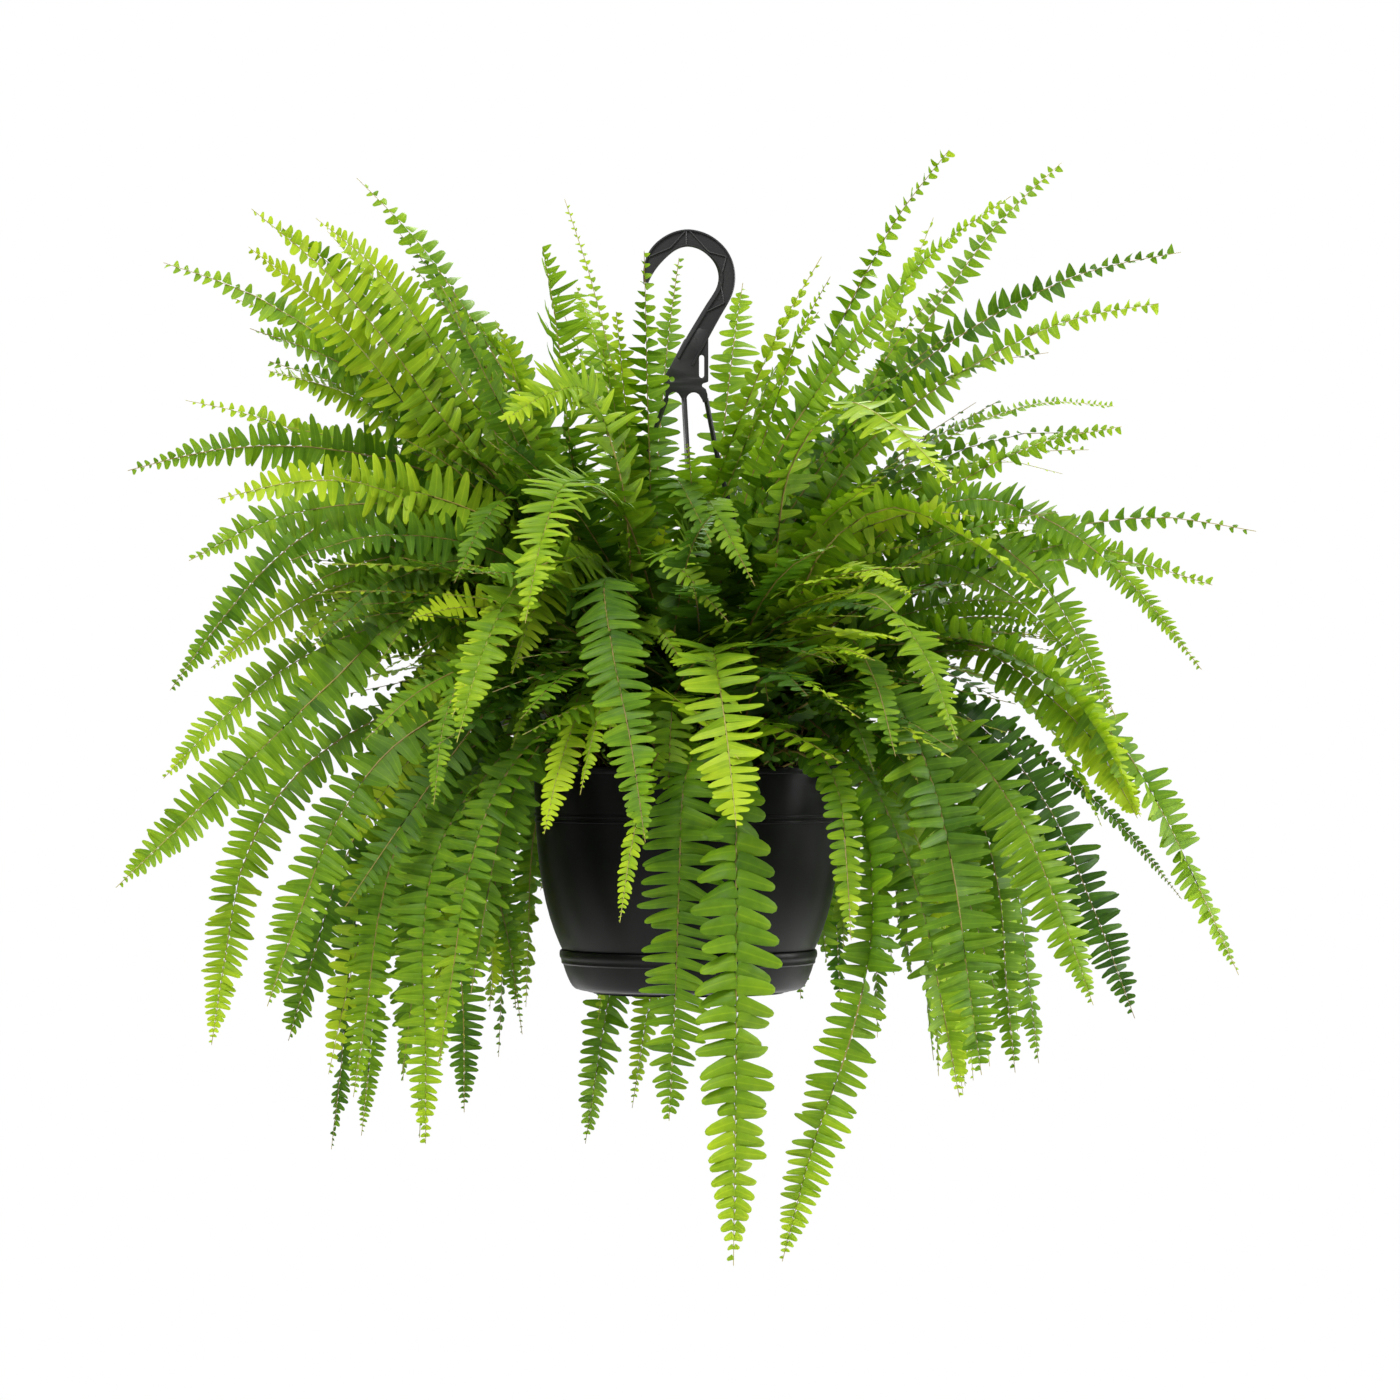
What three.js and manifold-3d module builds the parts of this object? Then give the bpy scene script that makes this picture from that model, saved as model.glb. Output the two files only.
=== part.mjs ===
// A sword fern in a hanging pot: moulded hook and arms, bowl-shaped pot with its drip tray, soil and fronds.
// Millimetres, +Z up. The origin is where the hook bears on what it hangs from, and the viewer is at -Y.
import * as THREE from 'three';
import { mergeVertices } from 'three/addons/utils/BufferGeometryUtils.js';
import Module from 'manifold-3d';

const wasm = await Module();
wasm.setup();

// Pot and tray
const RIM_Z = -446;
const RIM_RADIUS = 135;
const RIM_LIP_HEIGHT = 6;
const POT_WALL = 1.8;
const POT_SIDES = 28;
const POT_FLOOR_Z = -634;
const POT_FOOT_RADIUS = 80;
const TRAY_BASE_Z = -644;
const TRAY_WALL = 1.8;
const DRAIN_HOLES = 5;
const DRAIN_RADIUS = 5;
const DRAIN_CIRCLE = 52;

// Soil
const SOIL_Z = -462;
const SEAT_GAP = 0.3;
const SOCKET_RADIUS = 6.5;
const SOCKET_DEPTH = 12;

// Hanger
const HOOK_DEPTH = 8;
const WEB_THICKNESS = 2.4;
const FLANGE_WIDTH = 1.8;
const RIB_WIDTH = 1.6;
const PLATE_THICKNESS = 4;
const ARM_WIDTH = 4.6;
const ARM_DEPTH = 4;
const ARM_AZIMUTHS = [6, 126, -114];

// Fronds
const VIEW_DISTANCE = 4900;
const VIEW_CENTRE = new THREE.Vector2(10, -390);
const MIDRIB_WIDTH = 3.2;
const LEAFLET_SWEEP = 0.85;
const STALK_STATIONS = 2;
const DROOP = 0.16;
const MIDRIB_BY_AGE = { young: 1.8, grown: 2.1, old: 2.4 };
const SECOND_FROND_EXTRA = 0.1;
const BLADE_EDGE = 0.6;
const STALK_SHARE = 0.13;
const FROND_GAP = 0.35;
const RIM_CLEARANCE = 14;
const RISE_UP = 0.5;
const RISE_OUT = 0.1;
const TIP_PULL = 0.7;
const TIP_DROOP = 0.12;
const BEND_REACH = 0.36;
const RIM_NEARNESS = 14;
const MOST_BEND = 66;
const HANGING_DROP = 300;
const RING_RADII = [26, 56, 88];
const BACK_FRONDS = 31;
const BEND_TRIES = 240;
const LEAFLET_PITCH = 83;
const PARTNER_OFFSET = 4;

const rad = THREE.MathUtils.degToRad;
const clamp = THREE.MathUtils.clamp;

// Small repeatable random source
function randomSource(seed) {
  let state = seed;
  return () => {
    state = (Math.imul(state, 1664525) + 1013904223) >>> 0;
    return state / 4294967296;
  };
}

// Between three.js geometry and solids that can be joined and cut
function toSolid(geometry) {
  const plain = geometry.clone();
  plain.deleteAttribute('normal');
  plain.deleteAttribute('uv');
  const merged = mergeVertices(plain, 1e-4);
  const vertProperties = new Float32Array(merged.attributes.position.array);
  const triVerts = new Uint32Array(merged.index.array);
  return new wasm.Manifold(new wasm.Mesh({ numProp: 3, vertProperties, triVerts }));
}

function toGeometry(solid) {
  const mesh = solid.getMesh();
  const geometry = new THREE.BufferGeometry();
  geometry.setAttribute('position', new THREE.BufferAttribute(new Float32Array(mesh.vertProperties), 3));
  geometry.setIndex(new THREE.BufferAttribute(new Uint32Array(mesh.triVerts), 1));
  geometry.computeVertexNormals();
  return geometry;
}

// A body turned about +Z from [radius, height] pairs, given anticlockwise with the radius to the right
function turned(profile, sides) {
  const points = profile.map(([r, z]) => new THREE.Vector2(r, z));
  return new THREE.LatheGeometry([...points, points[0]], sides).rotateX(Math.PI / 2);
}

// Outer radius of the pot at a height
function potRadius(z) {
  const depth = (RIM_Z - z) / (RIM_Z - TRAY_BASE_Z);
  return 133 - 6 * depth - 44 * Math.pow(depth, 3.6);
}

function potSolid() {
  const wallHeights = [-494, -530, -565, -590, -610, -624];
  const ridge = [[-487, 0], [-488.5, 1.3], [-491.5, 1.3], [-493, 0]];
  const outer = [
    [RIM_RADIUS, RIM_Z], [RIM_RADIUS, RIM_Z - RIM_LIP_HEIGHT], [potRadius(-452), RIM_Z - RIM_LIP_HEIGHT],
    ...ridge.map(([z, proud]) => [potRadius(z) + proud, z]),
    ...wallHeights.slice(1).map((z) => [potRadius(z), z]),
  ];
  const foot = [
    [POT_FOOT_RADIUS + 2, POT_FLOOR_Z], [POT_FOOT_RADIUS + 2, TRAY_BASE_Z + TRAY_WALL + SEAT_GAP],
    [POT_FOOT_RADIUS, TRAY_BASE_Z + TRAY_WALL + SEAT_GAP], [POT_FOOT_RADIUS, POT_FLOOR_Z],
  ];
  const inner = [[0, POT_FLOOR_Z + POT_WALL], [POT_FOOT_RADIUS, POT_FLOOR_Z + POT_WALL],
    ...[-624, -610, -590, -565, -530].map((z) => [potRadius(z) - POT_WALL, z]),
    [potRadius(RIM_Z) - POT_WALL, RIM_Z]];
  const profile = [...outer, ...foot, [0, POT_FLOOR_Z], ...inner].reverse();
  let pot = toSolid(turned(profile, POT_SIDES));
  for (let i = 0; i < DRAIN_HOLES; i += 1) {
    const angle = (i / DRAIN_HOLES) * Math.PI * 2;
    const drill = new THREE.CylinderGeometry(DRAIN_RADIUS, DRAIN_RADIUS, 20, 8).rotateX(Math.PI / 2);
    drill.translate(DRAIN_CIRCLE * Math.cos(angle), DRAIN_CIRCLE * Math.sin(angle), POT_FLOOR_Z);
    pot = pot.subtract(toSolid(drill));
  }
  return pot;
}

function traySolid() {
  const top = -604;
  const outside = [[86, TRAY_BASE_Z], [94, -640.5], [101.5, -634], [107, -626], [109.5, -620],
    [potRadius(-616) + 3.4, -617], [potRadius(top) + 3, top]];
  const inside = [[potRadius(top) + SEAT_GAP + 0.3, top], [potRadius(-612) + SEAT_GAP + 0.3, -612],
    [potRadius(-620) + 0.8, -620], [96, -635], [85, TRAY_BASE_Z + TRAY_WALL], [0, TRAY_BASE_Z + TRAY_WALL]];
  return toSolid(turned([[0, TRAY_BASE_Z], ...outside, ...inside], POT_SIDES));
}

function soilSolid(roots) {
  const gap = POT_WALL + SEAT_GAP + 0.3;
  const heights = [-624, -590, -530];
  const base = POT_FLOOR_Z + POT_WALL + SEAT_GAP;
  const profile = [[0, base], [POT_FOOT_RADIUS - 1, base],
    ...heights.map((z) => [potRadius(z) - gap, z]), [potRadius(SOIL_Z) - gap, SOIL_Z - 3],
    [110, SOIL_Z], [0, SOIL_Z]];
  let soil = toSolid(turned(profile, POT_SIDES));
  for (const root of roots) {
    const depth = SOCKET_DEPTH + 20;
    const socket = new THREE.CylinderGeometry(SOCKET_RADIUS, SOCKET_RADIUS, depth, 5).rotateX(Math.PI / 2);
    socket.translate(root.x, root.y, SOIL_Z - SOCKET_DEPTH + depth / 2);
    soil = soil.subtract(toSolid(socket));
  }
  return soil;
}

// The hook's centre line from its free tip, over the top and down to the plate, as [x, z, width]
const HOOK_LINE = [
  [-34.8, -31, 5], [-33.5, -22, 9], [-30, -12, 13.5], [-18, 1.5, 14.6], [-1, 7.3, 14.6],
  [16, 2.6, 14.6], [27.5, -6.5, 14.6], [33, -23, 14.6], [31.4, -38, 14.6], [23.6, -50.4, 15.4],
  [13.5, -68, 16.6], [5, -84, 17],
];

function hookBand(inset) {
  const left = [];
  const right = [];
  const line = new THREE.CatmullRomCurve3(HOOK_LINE.map(([x, z]) => new THREE.Vector3(x, z, 0)));
  const widths = new THREE.CatmullRomCurve3(HOOK_LINE.map(([, , w]) => new THREE.Vector3(w, 0, 0)));
  const steps = 14;
  const trim = inset / 150;
  for (let i = 0; i <= steps; i += 1) {
    const t = trim + (1 - 2 * trim) * (i / steps);
    const p = line.getPoint(t);
    const d = line.getTangent(t);
    const half = widths.getPoint(t).x / 2 - inset;
    left.push(new THREE.Vector2(p.x - d.y * half, p.y + d.x * half));
    right.push(new THREE.Vector2(p.x + d.y * half, p.y - d.x * half));
  }
  return [...right, ...left.reverse()];
}

// A flat shape in the X-Z plane made a slab, centred on the y given
function slab(points, depth, y, holes = []) {
  const shape = new THREE.Shape(points);
  shape.holes = holes.map((hole) => new THREE.Path(hole));
  const geometry = new THREE.ExtrudeGeometry(shape, { depth, bevelEnabled: false, curveSegments: 6 });
  return toSolid(geometry.rotateX(Math.PI / 2).translate(0, y + depth / 2, 0));
}

// A straight bar between two points, its section's flat side turned to the direction given
function bar(from, to, width, depth, facing) {
  const along = to.clone().sub(from);
  const y = along.clone().normalize();
  const z = facing.clone().addScaledVector(y, -facing.dot(y)).normalize();
  const x = new THREE.Vector3().crossVectors(y, z);
  const box = new THREE.BoxGeometry(width, along.length(), depth);
  box.applyMatrix4(new THREE.Matrix4().makeBasis(x, y, z));
  box.translate(...from.clone().add(to).multiplyScalar(0.5).toArray());
  return toSolid(box);
}

const arc = (cx, cz, r, start, end, steps) => Array.from({ length: steps + 1 }, (_, i) => {
  const a = rad(start + ((end - start) * i) / steps);
  return new THREE.Vector2(cx + r * Math.cos(a), cz + r * Math.sin(a));
});

function hangerSolid() {
  const band = hookBand(0);
  const inner = hookBand(FLANGE_WIDTH);
  let hanger = slab(band, HOOK_DEPTH, 0, [inner]).add(slab(band, WEB_THICKNESS, 0));
  // Zigzag ribs across the web of the hook
  const zigzag = [[-35, -18], [-14, -1], [-1, 14], [14, -2], [36, -12], [27, -34], [30, -50], [9, -66]];
  const towards = new THREE.Vector3(0, 1, 0);
  for (let i = 0; i + 1 < zigzag.length; i += 1) {
    const from = new THREE.Vector3(zigzag[i][0], 0, zigzag[i][1]);
    const to = new THREE.Vector3(zigzag[i + 1][0], 0, zigzag[i + 1][1]);
    hanger = hanger.add(bar(from, to, RIB_WIDTH, HOOK_DEPTH - 1, towards));
  }
  // The plate below the hook, with its peg hole and slot
  const outline = [[6, -68], [-3.4, -80], [-15.6, -103.6], [-23, -115.5], [-19.8, -119], [-20.5, -130],
    [16.6, -130], [16, -124], [12.6, -120], [12.6, -118], [17.6, -116], [17.6, -73]];
  const pegHole = arc(-13.6, -114, 2.3, 0, 360, 8);
  const slot = [...arc(11.8, -95, 2.1, 0, 180, 4), ...arc(11.8, -111, 2.1, 180, 360, 4)];
  const corners = outline.map(([x, z]) => new THREE.Vector2(x, z));
  hanger = hanger.add(slab(corners, PLATE_THICKNESS, 0, [pegHole, slot]));
  // Three arms down to clips that grip under the rim's lip
  const armTops = [[-2, -126], [14.5, -126], [-18.5, -126]];
  ARM_AZIMUTHS.forEach((azimuth, i) => {
    const out = new THREE.Vector3(Math.sin(rad(azimuth)), -Math.cos(rad(azimuth)), 0);
    const top = new THREE.Vector3(armTops[i][0], 0, armTops[i][1]);
    const bottom = out.clone().multiplyScalar(RIM_RADIUS + 2.6).setZ(RIM_Z + 10);
    const bow = top.clone().lerp(bottom, 0.5).addScaledVector(out, 7);
    const foot = out.clone().multiplyScalar(RIM_RADIUS + 2.6).setZ(RIM_Z - RIM_LIP_HEIGHT - 5);
    hanger = hanger.add(bar(top, bow, ARM_WIDTH, ARM_DEPTH, out));
    hanger = hanger.add(bar(bow, bottom.clone().setZ(bottom.z - 3), ARM_WIDTH, ARM_DEPTH, out));
    hanger = hanger.add(bar(bottom, foot, 9, 3.4, out));
    const barbTip = out.clone().multiplyScalar(RIM_RADIUS - 0.5);
    barbTip.z = RIM_Z - RIM_LIP_HEIGHT - SEAT_GAP - 1.6;
    const barbRoot = barbTip.clone().addScaledVector(out, 4);
    hanger = hanger.add(bar(barbTip, barbRoot, 9, 3.2, new THREE.Vector3(0, 0, 1)));
  });
  return hanger;
}

// Fronds seen in front and at the sides, as
// [tip x, tip z, middle x, middle z, tip depth y, width factor, turn, age], and STRAIGHT for an outer half
// that doesn't bend. The x and z are as the viewer sees them, and turn is how far the blade faces the viewer.
const YOUNG = 'young';
const GROWN = 'grown';
const OLD = 'old';
const STRAIGHT = true;
const SEEN_FRONDS = [
  // upright and high on the left
  [-280, 54, -148, -132, 110, 1, 0.7, GROWN],
  [-375, 25, -161, -166, -140, 1, 0.7, GROWN],
  [-451, -14, -213, -158, 50, 1, 0.7, GROWN],
  [-316, 20, -170, -192, 170, 0.8, 0.6, GROWN],
  [-361, -89, -178, -227, -110, 0.9, 0.7, GROWN],
  [-425, -136, -221, -200, 120, 0.9, 0.7, OLD],
  [-480, -197, -222, -201, -70, 1.1, 0.9, GROWN],
  [-404, -217, -215, -217, -165, 1, 0.8, YOUNG],
  [-429, -270, -248, -222, -120, 1, 0.8, GROWN],
  [-447, -380, -270, -222, 90, 1, 0.7, OLD],
  [-410, -362, -230, -274, -40, 0.9, 0.7, GROWN],
  [-451, -457, -247, -321, -10, 1, 0.7, GROWN],
  // arching and hanging on the left
  [-492, -551, -262, -332, -130, 1.15, 0.8, YOUNG, STRAIGHT],
  [-410, -686, -354, -474, -50, 1.1, 0.8, GROWN],
  [-362, -653, -247, -424, -120, 1, 0.7, GROWN],
  [-344, -682, -239, -442, 60, 1.2, 0.7, OLD],
  [-307, -776, -247, -476, 20, 0.7, 0.6, OLD],
  [-288, -731, -221, -459, -90, 0.9, 0.7, GROWN],
  [-226, -771, -209, -502, -150, 1.15, 0.7, GROWN],
  [-215, -704, -153, -446, -225, 1, 0.6, GROWN],
  [-143, -677, -161, -502, -140, 0.8, 0.6, OLD],
  [-199, -426, -135, -278, -270, 1, 0.6, YOUNG],
  [-219, -480, -187, -356, -240, 0.7, 0.6, OLD],
  [-278, -424, -161, -355, -200, 1, 0.6, GROWN],
  // over the front
  [-124, -505, -84, -390, -255, 1, 0.4, YOUNG],
  [-93, -471, -54, -351, -240, 0.9, 0.3, GROWN],
  [-59, -581, -32, -450, -290, 0.8, 0.3, YOUNG],
  [-26, -499, -62, -295, -290, 1.4, 0.4, GROWN],
  [49, -491, 11, -338, -265, 1.1, 0.4, GROWN],
  [-16, -737, -6, -500, -235, 1.2, 0.3, GROWN],
  [42, -876, 41, -519, -265, 1.5, 0.3, GROWN],
  [83, -866, 139, -620, -215, 1.1, 0.5, GROWN],
  [-92, -768, -54, -515, 205, 1, 0.3, OLD],
  [-158, -160, -67, -192, -120, 1, 0.7, YOUNG],
  [-129, -328, -54, -222, -220, 1, 0.7, YOUNG],
  [-204, -283, -135, -192, -150, 1, 0.6, GROWN],
  [-187, -417, -110, -270, -200, 0.9, 0.1, YOUNG],
  [31, -328, -15, -252, -245, 1, 0.5, GROWN],
  // high on the right
  [238, 78, 105, -132, -120, 1, 0.7, GROWN],
  [315, 63, 157, -132, 130, 1, 0.7, GROWN],
  [277, 43, 120, -112, -190, 1, 0.7, YOUNG],
  [423, -5, 191, -106, 50, 1, 0.7, GROWN],
  [404, -49, 191, -138, -120, 1, 0.8, GROWN],
  [368, -128, 200, -165, 150, 0.9, 0.7, OLD],
  [372, -155, 183, -235, -165, 1, 0.7, GROWN],
  [492, -255, 269, -244, -60, 1.1, 0.8, GROWN],
  [450, -291, 252, -278, 90, 1, 0.7, GROWN],
  [430, -362, 268, -258, -130, 1, 0.8, GROWN],
  [400, -436, 243, -304, -165, 1, 0.1, YOUNG],
  // arching and hanging on the right
  [473, -626, 277, -364, -80, 1.1, 0.8, GROWN],
  [424, -561, 269, -390, 70, 1, 0.7, OLD],
  [348, -652, 234, -424, -170, 1.15, 0.7, YOUNG],
  [233, -731, 166, -476, -165, 1, 0.6, GROWN],
  [252, -712, 187, -407, -215, 1.2, 0.6, OLD],
  [281, -710, 234, -459, -60, 1, 0.7, GROWN],
  [305, -700, 256, -476, 70, 0.8, 0.6, OLD],
  [231, -424, 166, -304, -230, 1, 0.5, YOUNG],
  [178, -438, 140, -338, -250, 0.9, 0.5, OLD],
  [222, -212, 97, -201, -150, 1, 0.1, YOUNG],
  [142, -296, 80, -338, -240, 0.7, 0.4, YOUNG],
  [160, -356, 88, -356, -265, 0.8, 0.4, GROWN],
  [192, -299, 123, -278, -185, 0.9, 0.6, YOUNG],
  [140, -596, 123, -450, -235, 0.9, 0.4, GROWN],
  // upright round the hook
  [-110, 35, -50, -175, 150, 0.5, 0.6, YOUNG],
  [-115, -9, -67, -184, -140, 0.8, 0.6, GROWN],
  [-39, -2, -37, -184, -70, 0.8, 0.4, GROWN],
  [-8, -10, -26, -184, 150, 0.6, 0.4, GROWN],
  [41, -26, 24, -201, 190, 0.7, 0.4, GROWN],
  [111, -14, 45, -201, -150, 0.9, 0.1, YOUNG],
];

// Where a point that the viewer sees at x, z lies when its depth is y
function fromView(x, y, z) {
  const spread = 1 + y / VIEW_DISTANCE;
  return new THREE.Vector3(
    VIEW_CENTRE.x + (x - VIEW_CENTRE.x) * spread,
    y,
    VIEW_CENTRE.y + (z - VIEW_CENTRE.y) * spread,
  );
}

function seenPlans() {
  return SEEN_FRONDS.map(([tipX, tipZ, midX, midZ, depth, width, turn, age, straight]) => {
    const hanging = clamp((midZ - tipZ) / HANGING_DROP, 0, 1);
    const middle = fromView(midX, depth * (0.55 + 0.33 * hanging), midZ);
    return { tip: fromView(tipX, depth, tipZ), middle, width, turn, age, straight };
  });
}

// Fronds behind, fanned by the golden ratio in three kinds: upright, arching and hanging
function backPlans() {
  const random = randomSource(41);
  const kinds = [
    { reach: 220, share: 0.58, tip: -20, middle: -175, spread: 60 },
    { reach: 370, share: 0.6, tip: -220, middle: -235, spread: 70 },
    { reach: 350, share: 0.72, tip: -560, middle: -330, spread: 80 },
    { reach: 275, share: 0.84, tip: -730, middle: -430, spread: 70 },
  ];
  return Array.from({ length: BACK_FRONDS }, (_, i) => {
    const kind = kinds[[3, 1, 2, 0, 2, 1, 3, 2][i % 8]];
    const angle = rad(90 + 165 * (((i * 0.618034 + 0.31) % 1) - 0.5));
    const out = new THREE.Vector3(Math.cos(angle), Math.sin(angle), 0);
    const reach = kind.reach + kind.spread * (random() - 0.5);
    const tip = out.clone().multiplyScalar(reach).setZ(kind.tip + 2 * kind.spread * (random() - 0.5));
    const middle = out.clone().multiplyScalar(reach * kind.share);
    middle.z = kind.middle + kind.spread * (random() - 0.5);
    const age = [OLD, GROWN, YOUNG, GROWN, GROWN][Math.floor(random() * 5)];
    return { tip, middle, width: 0.85 + 0.35 * random(), turn: 0.3 * random(), age };
  });
}

// Steep fronds root in the middle of the soil and hanging ones near its edge, two to a crown
function crownPlans() {
  const plans = [...seenPlans(), ...backPlans()];
  plans.forEach((plan) => {
    plan.azimuth = Math.atan2(plan.middle.y + plan.tip.y, plan.middle.x + plan.tip.x);
    plan.steepness = plan.middle.z + 0.35 * plan.tip.z - 0.3 * Math.hypot(plan.tip.x, plan.tip.y);
  });
  const bySteepness = [...plans].sort((a, b) => b.steepness - a.steepness);
  const shares = [0.15, 0.48, 1].map((share) => 2 * Math.round((share * plans.length) / 2));
  const crowns = [];
  shares.forEach((end, ring) => {
    const start = ring === 0 ? 0 : shares[ring - 1];
    const members = bySteepness.slice(start, end).sort((a, b) => a.azimuth - b.azimuth);
    for (let i = 0; i < members.length; i += 2) {
      const pair = members.slice(i, i + 2);
      const step = (Math.PI * 2) / Math.ceil(members.length / 2);
      const even = -Math.PI + (i / 2 + 0.5) * step;
      const radius = RING_RADII[ring] + 5 * ((i / 2) % 2);
      const root = new THREE.Vector3(radius * Math.cos(even), radius * Math.sin(even), SOIL_Z);
      crowns.push({ root, pair });
    }
  });
  return crowns;
}

// How wide the blade is along the frond, as a share of its greatest half-width
function bladeShare(t) {
  const u = clamp((t - STALK_SHARE) / (1 - STALK_SHARE), 0, 1);
  return Math.min(1, 0.42 + 1.7 * u) * (1 - Math.pow(u, 3));
}

// The arch in two stretches that join at the middle: steeply up from the neck, then on to a drooping tip
function archCurve({ neck, middle, tip, straight }) {
  const first = middle.clone().sub(neck);
  const second = tip.clone().sub(middle);
  const [near, far] = [first.length(), second.length()];
  const pull = straight ? 1 : TIP_PULL;
  const through = first.clone().multiplyScalar((1 - pull) / near).addScaledVector(second, pull / far);
  through.normalize();
  const rise = neck.clone().addScaledVector(first.setZ(0).normalize(), RISE_OUT * near);
  rise.z += RISE_UP * near;
  const fall = tip.clone().addScaledVector(second, -BEND_REACH);
  if (!straight) fall.z += TIP_DROOP * far;
  const before = middle.clone().addScaledVector(through, -BEND_REACH * near);
  const after = middle.clone().addScaledVector(through, BEND_REACH * far);
  const arch = new THREE.CurvePath();
  arch.add(new THREE.CubicBezierCurve3(neck, rise, before, middle));
  arch.add(new THREE.CubicBezierCurve3(middle, after, fall, tip));
  return arch;
}

// Lifts a hanging frond's middle until its stalk rises over the pot's rim
function liftOverRim(plan) {
  const nearRim = (p) => Math.abs(Math.hypot(p.x, p.y) - RIM_RADIUS) < RIM_NEARNESS;
  const tooLow = (p) => nearRim(p) && p.z < RIM_Z + RIM_CLEARANCE;
  while (archCurve(plan).getSpacedPoints(24).some(tooLow)) plan.middle.z += 4;
}

// The midrib's stations, each with its place, its sideways direction and its normal: the stalk's foot
// and neck, the end of the stalk, and then one for each pair of leaflets
function midrib(plan) {
  const { foot, neck } = plan;
  const curve = archCurve(plan);
  const away = plan.tip.clone().sub(neck).setZ(0).normalize();
  const level = new THREE.Vector3(away.y, -away.x, 0);
  const shares = [0];
  for (let i = 0; i <= plan.pairs; i += 1) shares.push(STALK_SHARE + ((1 - STALK_SHARE) * i) / plan.pairs);
  const stations = shares.map((t) => {
    const ahead = curve.getTangentAt(t);
    const facing = new THREE.Vector3(ahead.z, 0, -ahead.x).normalize();
    const turn = plan.turn * Math.abs(away.x) * THREE.MathUtils.smoothstep(t, 0.12, 0.55);
    const side = level.clone().multiplyScalar(1 - turn).addScaledVector(facing, turn);
    side.addScaledVector(ahead, -side.dot(ahead)).normalize();
    return { t, place: curve.getPointAt(t), side, normal: new THREE.Vector3().crossVectors(side, ahead) };
  });
  const up = new THREE.Vector3(0, 0, 1);
  const first = { t: 0, place: foot, side: level, normal: new THREE.Vector3().crossVectors(level, up) };
  return { stations: [first, ...stations], length: curve.getLength() };
}

// The sharpest turn between one stretch of the midrib and the next, in degrees
function sharpestBend(plan) {
  const places = midrib(plan).stations.slice(1).map(({ place }) => place);
  const ways = places.slice(1).map((place, i) => place.clone().sub(places[i]));
  return Math.max(...ways.slice(1).map((way, i) => THREE.MathUtils.radToDeg(way.angleTo(ways[i]))));
}

// A plate from columns of a top and a bottom point: the faces are given once, and open edges get walls
function thickened(columns, faces) {
  const index = [];
  const edges = new Map();
  for (const face of faces) {
    index.push(...face.map((c) => 2 * c), 2 * face[0] + 1, 2 * face[2] + 1, 2 * face[1] + 1);
    face.forEach((from, i) => edges.set(`${from},${face[(i + 1) % 3]}`, [from, face[(i + 1) % 3]]));
  }
  for (const [from, to] of edges.values()) {
    if (!edges.has(`${to},${from}`)) {
      index.push(2 * to, 2 * from, 2 * from + 1, 2 * to, 2 * from + 1, 2 * to + 1);
    }
  }
  const geometry = new THREE.BufferGeometry().setFromPoints(columns.flat());
  return geometry.setIndex(index);
}

// One frond: two rows of leaflets cut to the midrib, in one thin arched blade on a flat stalk
function frondGeometry(plan, thickness, grown = 0, bladeOnly = false) {
  const whole = midrib(plan);
  const stations = whole.stations.slice(bladeOnly ? STALK_STATIONS : 0);
  const half = plan.width * clamp(0.064 * whole.length, 14, 34);
  const columns = [];
  const faces = [];
  const column = (place, normal, tall) => {
    const rise = normal.clone().multiplyScalar(tall / 2 + grown);
    columns.push([place.clone().add(rise), place.clone().sub(rise)]);
    return columns.length - 1;
  };
  const ribs = stations.map(({ place, side, normal }) => [-1, 1].map((sign) => {
    const at = place.clone().addScaledVector(side, sign * (MIDRIB_WIDTH / 2 + grown));
    return column(at, normal, thickness);
  }));
  for (let i = 0; i + 1 < stations.length; i += 1) {
    const [near, far] = [stations[i], stations[i + 1]];
    const [leftNear, rightNear] = ribs[i];
    const [leftFar, rightFar] = ribs[i + 1];
    faces.push([leftNear, rightNear, rightFar], [leftNear, rightFar, leftFar]);
    if (near.t > 0) {
      const out = near.side.clone().add(far.side).normalize();
      const wide = half * bladeShare(near.t * 0.45 + far.t * 0.55) + grown;
      const [leftTip, rightTip] = [-1, 1].map((sign) => {
        const tip = near.place.clone().lerp(far.place, LEAFLET_SWEEP).addScaledVector(out, sign * wide);
        return column(tip.addScaledVector(near.normal, -DROOP * wide), near.normal, BLADE_EDGE);
      });
      faces.push([leftNear, leftFar, leftTip], [rightNear, rightTip, rightFar]);
    }
  }
  return thickened(columns, faces);
}

const overlaps = (a, b) => {
  const boxA = a.boundingBox();
  const boxB = b.boundingBox();
  const apart = [0, 1, 2].some((k) => boxA.min[k] > boxB.max[k] || boxB.min[k] > boxA.max[k]);
  return !apart && !a.intersect(b).isEmpty();
};

// Bends a frond by small seeded steps until it clears what stands already
function clearFrond(plan, thickness, standing, partners, random) {
  for (let attempt = 0; attempt < BEND_TRIES; attempt += 1) {
    const step = attempt === 0 ? 0 : 6 + attempt * 0.6;
    const shake = (amount) => amount * step * (random() - 0.5) * 2;
    const bent = {
      ...plan,
      tip: plan.tip.clone().add(new THREE.Vector3(shake(0.3), shake(1), shake(0.3))),
      middle: plan.middle.clone().add(new THREE.Vector3(shake(0.3), shake(0.8), shake(0.45))),
      turn: clamp(plan.turn + shake(0.004), 0, 1),
      width: plan.width * (1 - 0.45 * (attempt / BEND_TRIES)),
    };
    if (sharpestBend(bent) > MOST_BEND) continue;
    const wide = toSolid(frondGeometry(bent, thickness, FROND_GAP));
    const blade = toSolid(frondGeometry(bent, thickness, FROND_GAP, true));
    const clear = !standing.some((solid) => overlaps(wide, solid))
      && !partners.some((solid) => overlaps(blade, solid));
    if (clear) return toSolid(frondGeometry(bent, thickness));
  }
  return null;
}

function material(colour, roughness, metalness = 0) {
  return new THREE.MeshStandardMaterial({ color: colour, roughness, metalness });
}

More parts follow.
